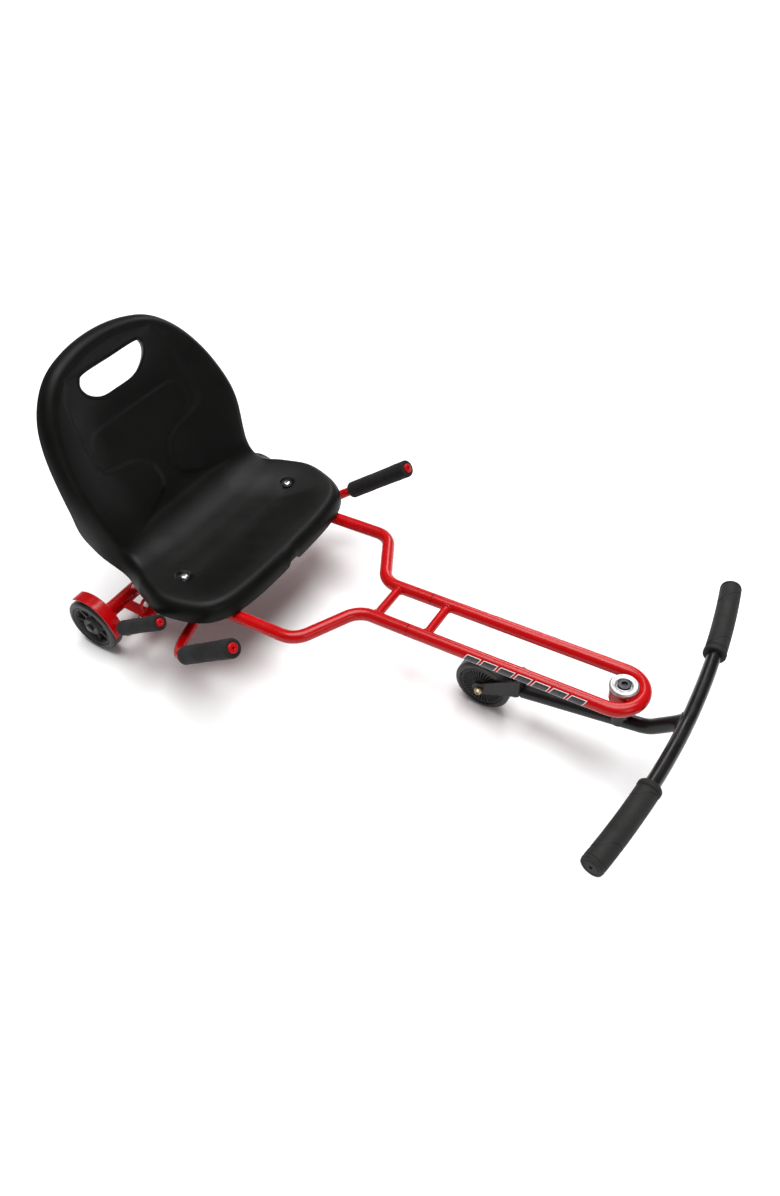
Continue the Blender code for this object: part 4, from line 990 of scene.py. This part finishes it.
def build_steering_arm():
    """Arm tube, flared where it meets the foot bar, and the bead round the flare."""
    fork_end = Vector((0, HEAD.y + FORK_FRONT, arm_height(FORK_FRONT)))
    elbow = Vector((0, HEAD.y - 0.0450, arm_height(-0.0450)))
    middle = Vector((0, HEAD.y + BAR_BACK, BAR_Z))
    near_bar = middle + Vector((0, TUBE_R + 0.004, -TUBE_R - 0.004))
    toward_bar = (near_bar - elbow).normalized()
    path = fillet_path([fork_end, elbow, middle - toward_bar * (TUBE_R * 0.55)], 0.040, 20)
    extra = [path[-1] - toward_bar * distance for distance in (0.020, 0.015, 0.010, 0.006, 0.003)]
    path = path[:-1] + extra + path[-1:]
    flare = dict(zip(range(len(path) - 5, len(path)), (0.0006, 0.0018, 0.0036, 0.0050, 0.0058)))

    def radius(index, angle):
        widen = flare.get(index, 0.0)
        return 1 / math.hypot(math.cos(angle) / (ARM_R + widen), math.sin(angle) / (ARM_R - 0.25 * widen))

    arm = sweep(path, radius, 48, first_side=LEFTWARD)
    bead_path = []
    for angle in full_turn(72):
        up = 0.0095 * math.sin(angle)
        reach = math.sqrt(max(TUBE_R ** 2 - up ** 2, 0.0)) + 0.0002
        across = LEFTWARD * (0.0168 * math.cos(angle)) + toward_bar.cross(LEFTWARD) * up
        bead_path.append(middle + across - toward_bar * reach)
    shape = combine([arm, weld_bead(bead_path, 0.0016, closed=True)])
    add_piece("steering_arm_tube", shape, BLACK, "steering", ["steering_arm"])


def build_arm_boss():
    profile = bored_profile(BOLT_BORE_R, BOSS_R, BOSS_BOTTOM, BOSS_TOP, 0.0010, 0.0008)
    add_piece("king_bolt_boss", turned(profile, HEAD, HEAD_AXIS, 56), BLACK, "steering")


def fork_span(back):
    """Lowest and highest point of the fork plate at a distance behind the head tube."""
    axle = FRONT_HUB.y - HEAD.y
    if back > axle:
        half = math.sqrt(max(FORK_EYE_R ** 2 - (back - axle) ** 2, 0.0025 ** 2))
        return FRONT_HUB.z - half, FRONT_HUB.z + half
    forward = min((axle - back) / (axle - 0.150), 1.0)
    low = FRONT_HUB.z - FORK_EYE_R + forward * (FORK_LOW - FRONT_HUB.z + FORK_EYE_R)
    high = FRONT_HUB.z + FORK_EYE_R + forward * (FORK_HIGH - FRONT_HUB.z - FORK_EYE_R)
    return low, high


def build_fork():
    """Flat bar bent to a U round the front of the wheel, with rounded eyes and eased edges."""
    axle = FRONT_HUB.y - HEAD.y
    bend = 0.0080
    half = FORK_PLATE / 2
    middle = FORK_INNER + half
    front = FORK_FRONT + half + bend
    backs = [axle + FORK_EYE_R * math.cos(angle) for angle in span(0, math.pi / 2, 9)]
    backs += span(axle, front, 12)[1:-1]
    stations = [(middle, back, 0.0) for back in backs]
    for angle in span(0, math.pi / 2, 12):
        stations.append((middle - bend + bend * math.cos(angle), front - bend * math.sin(angle), angle))
    stations += [(-x, back, math.pi - angle) for x, back, angle in stations[::-1]]
    loops = []
    for x, back, angle in stations:
        normal = Vector((math.cos(angle), -math.sin(angle), 0))
        centre = Vector((x, HEAD.y + back, 0))
        section = eased_section(half, *fork_span(back), 0.0006)
        loops.append([centre + normal * across + UPWARD * height for across, height in section])
    add_piece("front_fork_plate", strip(loops), BLACK, "steering")


def build_foot_bar():
    path = [bar_point(x) for x in span(-BAR_HALF, BAR_HALF, 72)]
    add_piece("foot_bar_tube", tube(path, TUBE_R), BLACK, "steering", ["foot_bar"])


def build_foot_grips():
    """Rubber grips with a collar at the inner end and wandering moulded grooves near both ends."""
    length = BAR_HALF + 0.0035 - GRIP_START
    stations = span(0, length, 150)
    grooves = ((0.0095, 0.0, 0.0009, 0.0016), (0.0220, 0.0075, 0.0008, 0.0015),
               (length - 0.0280, 0.0095, 0.0008, 0.0015), (length - 0.0045, 0.0, 0.0009, 0.0010))

    def radius(index, angle):
        along = stations[index]
        end = min(along, length - along)
        value = GRIP_R - 0.0004 + 0.0007 * smoothstep((0.0075 - along) / 0.0008)
        value -= 0.0011 * (1 - smoothstep(end / 0.0016))
        for middle, wander, width, depth in grooves:
            where = middle + wander * math.sin(angle) + 0.3 * wander * math.sin(2 * angle)
            value -= depth * math.exp(-((along - where) / width) ** 2)
        return value

    cap = [(0.0020, 0.0001), (0.0148, 0.0001)] + arc(0.0140, 0.0008, 0.0009, -20, 80, 5)
    cap += [(0.0118, 0.0019), (0.0114, 0.0014), (0.0104, 0.0014), (0.0100, 0.0021), (0.0026, 0.0024),
            (0.0020, 0.0019)]
    for side, word in SIDES:
        path = [bar_point(side * (GRIP_START + along)) for along in stations]
        grip = sweep(path, radius, 64, first_side=UPWARD)
        add_piece(f"foot_grip_sleeve_{word}", grip, RUBBER, "steering", [f"foot_grip_{word}"], 50)
        axis = (path[-1] - bar_point(side * (BAR_HALF - 0.0100))).normalized()
        add_piece(f"foot_grip_cap_{word}", turned(cap, path[-1], axis, 56), RUBBER, "steering",
                  [f"grip_end_{word}"])


def hex_head(centre, axis, radius, height, shank_r, shank):
    """A bolt: chamfered six-sided head and washer face, above a round shank that points along axis."""
    face = 0.0005
    head = turned([(0, -height), (radius * 0.78, -height), (radius, -height * 0.80), (radius, -face),
                   (0, -face)], centre, axis, 6)
    washer_face = prism(centre, axis, radius * 0.85, -face * 1.2, 0, ROUND)
    rod = turned([(0, -face), (shank_r, -face), (shank_r, shank - 0.0006), (shank_r - 0.0006, shank),
                  (0, shank)], centre, axis)
    return combine([head, washer_face, rod])


def build_front_axle():
    half = FORK_INNER + FORK_PLATE
    head_at = FRONT_HUB + LEFTWARD * (half + 0.0003)
    bolt = hex_head(head_at, -LEFTWARD, 0.0072, 0.0050, AXLE_R, 2 * half + 0.0060)
    add_piece("front_axle_hex_bolt", bolt, ZINC, "steering", ["front_axle_bolt"])
    nut_at = FRONT_HUB - LEFTWARD * (half + 0.0003)
    bore = (AXLE_R + 0.0003) / math.cos(math.pi / 6)
    body = turned([(bore, 0.0004), (0.0058, 0.0004), (0.0062, 0.0010), (0.0062, 0.0046), (0.0054, 0.0054),
                   (bore, 0.0054)], nut_at, -LEFTWARD, 6)
    collar = turned([(AXLE_R + 0.0004, 0.0050), (0.0052, 0.0050), (0.0052, 0.0066), (0.0048, 0.0072),
                     (AXLE_R + 0.0004, 0.0072)], nut_at, -LEFTWARD)
    add_piece("front_axle_lock_nut", combine([body, collar]), BRASS, "steering", ["front_axle_nut"])


# ---------------------------------------------------------------- wheels
def tyre_shape(centre, radius, rim):
    """Urethane tyre on a rim: crowned tread, rounded shoulders, a shallow line on each sidewall."""
    inner = rim + 0.0003
    shoulder = 0.0065
    profile = [(inner, -WHEEL_HALF + 0.0014), (inner + 0.0006, -WHEEL_HALF + 0.0006),
               (inner + 0.0012, -WHEEL_HALF), (inner + 0.0018, -WHEEL_HALF + 0.0004),
               (inner + 0.0024, -WHEEL_HALF)]
    for angle in span(0, math.pi / 2, 10):
        height = -WHEEL_HALF * 0.55 - WHEEL_HALF * 0.45 * math.cos(angle)
        profile.append((radius - shoulder + shoulder * math.sin(angle), height))
    profile += [(r, -h) for r, h in profile[::-1]]
    return turned(profile, centre, LEFTWARD, 96)


def core_shape(centre, rim, web):
    """Moulded core: hub barrel, web of the given half thickness and rim, with eased corners."""
    bore = BEARING_R + 0.0003
    half = [(bore, HUB_HALF), (0.0145, HUB_HALF), (0.0150, HUB_HALF - 0.0005), (0.0158, web + 0.0012),
            (0.0168, web), (rim - 0.0058, web), (rim - 0.0048, web + 0.0008), (rim - 0.0038, 0.0100),
            (rim - 0.0032, 0.0105), (rim - 0.0005, 0.0105), (rim, 0.0100)]
    profile = half + [(r, -h) for r, h in half[::-1]]
    return turned(profile, centre, LEFTWARD, 96)


def slotted_band(centre, inner, outer, low, high, count, slant):
    """A ring whose outer face carries many narrow slanted radial slots, whose floors take the second material
    as painted shade. Heights run along LEFTWARD.
    """
    shape = bmesh.new()
    depth = 0.0040 * (1 if high > low else -1)
    rows = 6
    edges = (0.0, 0.24, 0.28, 0.72, 0.76)
    points = [(slot + edge, 0.28 <= edge <= 0.72) for slot in range(count) for edge in edges]
    stations = [(row, inner + (outer - inner) * row / rows, high, 0 < row < rows) for row in range(rows + 1)]
    stations += [(rows, outer, low, False), (0, inner, low, False)]
    lines = []
    for row, radius, height, has_slots in stations:
        line = []
        for turn, lowered in points:
            angle = 2 * math.pi * (turn + slant * row / rows) / count
            x = height - depth if lowered and has_slots else height
            offset = Vector((x, radius * math.cos(angle), radius * math.sin(angle)))
            line.append(shape.verts.new(centre + offset))
        lines.append(line)
    for row, (line, following) in enumerate(zip(lines, lines[1:] + lines[:1])):
        for step in range(len(points)):
            after = (step + 1) % len(points)
            face = shape.faces.new((line[step], line[after], following[after], following[step]))
            # the slots' floors get material 1, near-black plastic painted in as shade in the slots
            face.material_index = int(row < rows and points[step][1] and points[after][1])
    return shape


def window_cutter(centre, count, inner, outer, width):
    """Rounded, outward-widening windows through a rear wheel's web."""
    shapes = []
    for index in range(count):
        middle = 2 * math.pi * (index + 0.37) / count
        corners = [(inner, -width * 0.25), (outer, -width * 0.5), (outer, width * 0.5), (inner, width * 0.25)]
        flat = [Vector((0, r, across)) for r, across in corners]
        closed = [(flat[0] + flat[3]) / 2] + flat + [(flat[0] + flat[3]) / 2]
        rounded = fillet_path(closed, 0.0022, 6)[:-1]
        spin = Matrix.Rotation(middle, 3, LEFTWARD)
        faces = [[centre + spin @ point + LEFTWARD * x for point in rounded] for x in (-0.02, 0.02)]
        shapes.append(strip(faces))
    return combine(shapes)


def bearing_shape(centre, side):
    """Ball bearing with outer ring, sunk shield and inner ring; side is the face's direction along X."""
    outer_face = HUB_HALF
    inner_face = HUB_HALF - 0.0070
    profile = [(AXLE_R + 0.0003, inner_face), (BEARING_R, inner_face), (BEARING_R, outer_face - 0.0003),
               (BEARING_R - 0.0003, outer_face), (0.0094, outer_face), (0.0092, outer_face - 0.0005),
               (0.0066, outer_face - 0.0005), (0.0064, outer_face), (AXLE_R + 0.0006, outer_face),
               (AXLE_R + 0.0003, outer_face - 0.0003)]
    return turned(profile, centre, LEFTWARD * side, 56)


def build_wheel(prefix, body, centre, radius, front):
    """One wheel: tyre, core with slots (front, their floors painted near-black as shade) or windows (rear),
    and two bearings.
    """
    rim = radius * RIM_SHARE
    add_piece(f"{prefix}_tread", tyre_shape(centre, radius, rim), TYRE, body, [f"{prefix}_tyre"], 30)
    shapes = [core_shape(centre, rim, 0.0060 if front else 0.0052)]
    if front:
        for side in (-1, 1):
            shapes.append(slotted_band(centre, 0.0154, rim - 0.0026, side * 0.0050, side * 0.0104, 36, 0.7))
    core = add_piece(f"{prefix}_wheel_core", combine(shapes), PALE_WHEEL, body, [f"{prefix}_core"], 30)
    if front:
        # the front core's second material paints shade into the slots' floors
        core.data.materials.append(SLOT_SHADE_PLASTIC)
    else:
        cut(core, window_cutter(centre, 8, 0.0173, 0.0316, 0.0205))
    for side, word in SIDES:
        add_piece(f"{prefix}_ball_bearing_{word}", bearing_shape(centre, side), BLACK_STEEL, body,
                  [f"{prefix}_bearing_{word}"])


def build_rear_axle_bolts():
    for side, word in SIDES:
        start = axle_point(side * (LEFT_HUB.x + HUB_HALF + 0.0003))
        bolt = hex_head(start, LEFTWARD * -side, 0.0068, 0.0045, AXLE_R, 0.0480)
        add_piece(f"rear_axle_hex_bolt_{word}", bolt, BLACK_STEEL, "rear_frame", [f"rear_axle_bolt_{word}"])


# ---------------------------------------------------------------- hand brake
def build_brake_lever():
    """Cross shaft and lever in one bent bar, with its foam sleeve and plug."""
    corners = [pivot_point(-0.1400), pivot_point(-0.2090), LEVER_START, LEVER_END]
    lever = tube(fillet_path(corners, 0.010, 12), LEVER_R)
    add_piece("brake_lever_tube", lever, RED, "brake_lever", ["brake_lever"])
    axis = (LEVER_END - LEVER_START).normalized()
    start = LEVER_START + axis * 0.0080
    length = (LEVER_END - start).length + 0.0020
    sleeve = foam_sleeve(start, axis, length, LEVER_R + 0.0003, LEVER_FOAM_R)
    grip = add_piece("brake_lever_sleeve", sleeve, FOAM, "brake_lever", ["brake_foam_grip"], 60)
    plug = end_plug(start, axis, length - 0.0004, LEVER_R - 0.0003)
    add_piece("brake_lever_plug", plug, RED, "brake_lever", ["brake_plug"])


def build_brake_shoe():
    """Pressed plate over the tyre with turned-down, eased edges, standing open at rest."""
    wheel = axle_point(-LEFT_HUB.x)
    inner = REAR_RADIUS + 0.0010
    lift = Matrix.Rotation(BRAKE_LIFT, 3, LEFTWARD)
    loops = []
    for step, degrees in enumerate(span(-4, 126, 48)):
        angle = math.radians(degrees)
        half = 0.0105 - 0.0025 * max(1 - step / 10, 0.0)
        loop = []
        for x, radius in eased_section(half, inner, inner + 0.0025, 0.0007):
            point = wheel + Vector((x, -radius * math.cos(angle), radius * math.sin(angle)))
            loop.append(BRAKE_PIVOT + lift @ (point - BRAKE_PIVOT))
        loops.append(loop)
    add_piece("brake_shoe_plate", strip(loops), RED, "brake_lever", ["brake_shoe"])


def build_brake_bracket():
    """Bearing sleeve for the cross shaft, its plate to the axle tube and the wire eye on top."""
    inner_x = 0.1480
    outer_x = 0.1760
    profile = bored_profile(LEVER_R + 0.0003, 0.0095, 0, outer_x - inner_x, 0.0005, 0.0005)
    sleeve = turned(profile, pivot_point(-outer_x), LEFTWARD, 48)
    middle = -(inner_x + outer_x) / 2
    ends = (BRAKE_PIVOT.y + 0.0080, LEFT_HUB.y - AXLE_TUBE_R + 0.0010)
    section = eased_section(0.0090, -0.0020, 0.0020, 0.0006)
    plate = strip([[Vector((middle + x, y, LEFT_HUB.z - 0.0005 + z)) for x, z in section] for y in ends])
    radius = 0.0080
    foot = UPWARD * 0.0078
    path = [pivot_point(middle - radius) + foot]
    for angle in span(0, math.pi, 24):
        rise = UPWARD * (0.0260 + radius * math.sin(angle))
        path.append(pivot_point(middle - radius * math.cos(angle)) + rise)
    path.append(pivot_point(middle + radius) + foot)
    shape = combine([sleeve, plate, sweep(path, 0.0026, 24)])
    add_piece("brake_bracket_sleeve", shape, RED, "rear_frame", ["brake_bracket"])


def build_brake_spring():
    per_turn = 32
    path = []
    for step in range(3 * per_turn + 1):
        angle = 2 * math.pi * step / per_turn
        x = -0.1780 - 0.0026 * step / per_turn
        path.append(pivot_point(x) + Vector((0, 0.0088 * math.cos(angle), 0.0088 * math.sin(angle))))
    add_piece("brake_torsion_spring", sweep(path, 0.0009, 14), ZINC, "rear_frame", ["brake_spring"])


# ---------------------------------------------------------------- CAD nodes
def finish_nodes():
    """Materials for the CAD nodes that keep their own shape."""
    kept = (
        (ZINC, "spigot_left spigot_right head_bearing_upper head_bearing_lower fork_spacer_left "
               "fork_spacer_right front_spacer rear_left_spacer rear_right_spacer rear_washer_left "
               "rear_washer_right"),
        (BLACK_STEEL, "lock_screw_left lock_screw_right king_washer"),
    )
    for material, names in kept:
        for name in names.split():
            for slot in frame["nodes"][name].material_slots:
                slot.material = material


# ---------------------------------------------------------------- floor, lights and camera
def build_floor():
    """Plain pale floor."""
    surface = Surface("floor", "floor", 0.85, specular=0.1)
    surface.colour(surface.ramp(surface.noise(1.5, 2.0), [(0.3, grey(0.93)), (0.7, grey(0.96))]))
    shape = bmesh.new()
    corners = [(-12, -12, 0), (12, -12, 0), (12, 12, 0), (-12, 12, 0)]
    shape.faces.new([shape.verts.new(corner) for corner in corners])
    floor = placed("floor", mesh_of(shape, "floor"))
    floor.data.materials.append(surface.material)


def area_light(name, place, size, energy):
    """A soft rectangular light turned to the kart."""
    light = bpy.data.lights.new(name, "AREA")
    light.shape = "RECTANGLE"
    light.size, light.size_y = size
    light.energy = energy
    lamp = placed(name, light)
    lamp.location = place
    lamp.rotation_mode = "QUATERNION"
    lamp.rotation_quaternion = (Vector((0.0, 0.0, 0.15)) - Vector(place)).to_track_quat("-Z", "Y")


def build_lights():
    """Soft overhead key, two side lights, dim surroundings and a white backdrop that only the camera sees."""
    world = bpy.data.worlds.new("studio")
    world.use_nodes = True
    nodes = world.node_tree.nodes
    links = world.node_tree.links
    background = nodes["Background"]
    background.inputs["Color"].default_value = (1.0, 1.0, 1.0, 1.0)
    strength = nodes.new("ShaderNodeMapRange")
    strength.inputs["To Min"].default_value = 0.16
    strength.inputs["To Max"].default_value = 1.0
    links.new(nodes.new("ShaderNodeLightPath").outputs["Is Camera Ray"], strength.inputs["Value"])
    links.new(strength.outputs["Result"], background.inputs["Strength"])
    bpy.context.scene.world = world
    light = bpy.data.lights.new("overhead", "SUN")
    light.energy = 3.7
    light.angle = math.radians(48)
    lamp = placed("overhead", light)
    lamp.rotation_euler = (math.radians(-4), math.radians(5), 0)
    area_light("far_side", (2.4, 0.6, 1.9), (0.8, 1.6), 26)
    area_light("near_side", (-1.2, -2.4, 1.6), (1.2, 0.8), 10)
    bpy.context.scene.view_settings.view_transform = "Standard"


def build_camera():
    """Camera in front of the right side, above the kart."""
    data = bpy.data.cameras.new("camera")
    data.sensor_fit = "VERTICAL"
    data.sensor_height = 36.0
    data.sensor_width = 36.0
    data.lens = 27.68
    data.clip_start = 0.01
    right = (0.5234, -0.8521, -0.0013)
    up = (0.6112, 0.3743, 0.6974)
    back = (-0.5937, -0.3658, 0.7167)
    place = (-0.8277, HEAD.y - 0.1391, 1.1359)
    camera = placed("camera", data)
    camera.matrix_world = Matrix([*zip(right, up, back, place), (0.0, 0.0, 0.0, 1.0)])
    bpy.context.scene.camera = camera


# ---------------------------------------------------------------- assembly
build_front_loop()
build_head_tube()
build_head_collar()
build_head_cap()
build_king_bolt()
build_decals()
build_rear_frame()
build_axle_tube()
build_handle_bar()
build_handle_ends()
build_seat()
build_hand_hole_lip()
build_seat_fixings()
build_steering_arm()
build_arm_boss()
build_fork()
build_foot_bar()
build_foot_grips()
build_front_axle()
build_wheel("front", "front_wheel", FRONT_HUB, FRONT_RADIUS, True)
build_wheel("rear_left", "rear_wheel_left", LEFT_HUB, REAR_RADIUS, False)
build_wheel("rear_right", "rear_wheel_right", axle_point(-LEFT_HUB.x), REAR_RADIUS, False)
build_rear_axle_bolts()
build_brake_lever()
build_brake_shoe()
build_brake_bracket()
build_brake_spring()
finish_nodes()
build_floor()
build_lights()
build_camera()
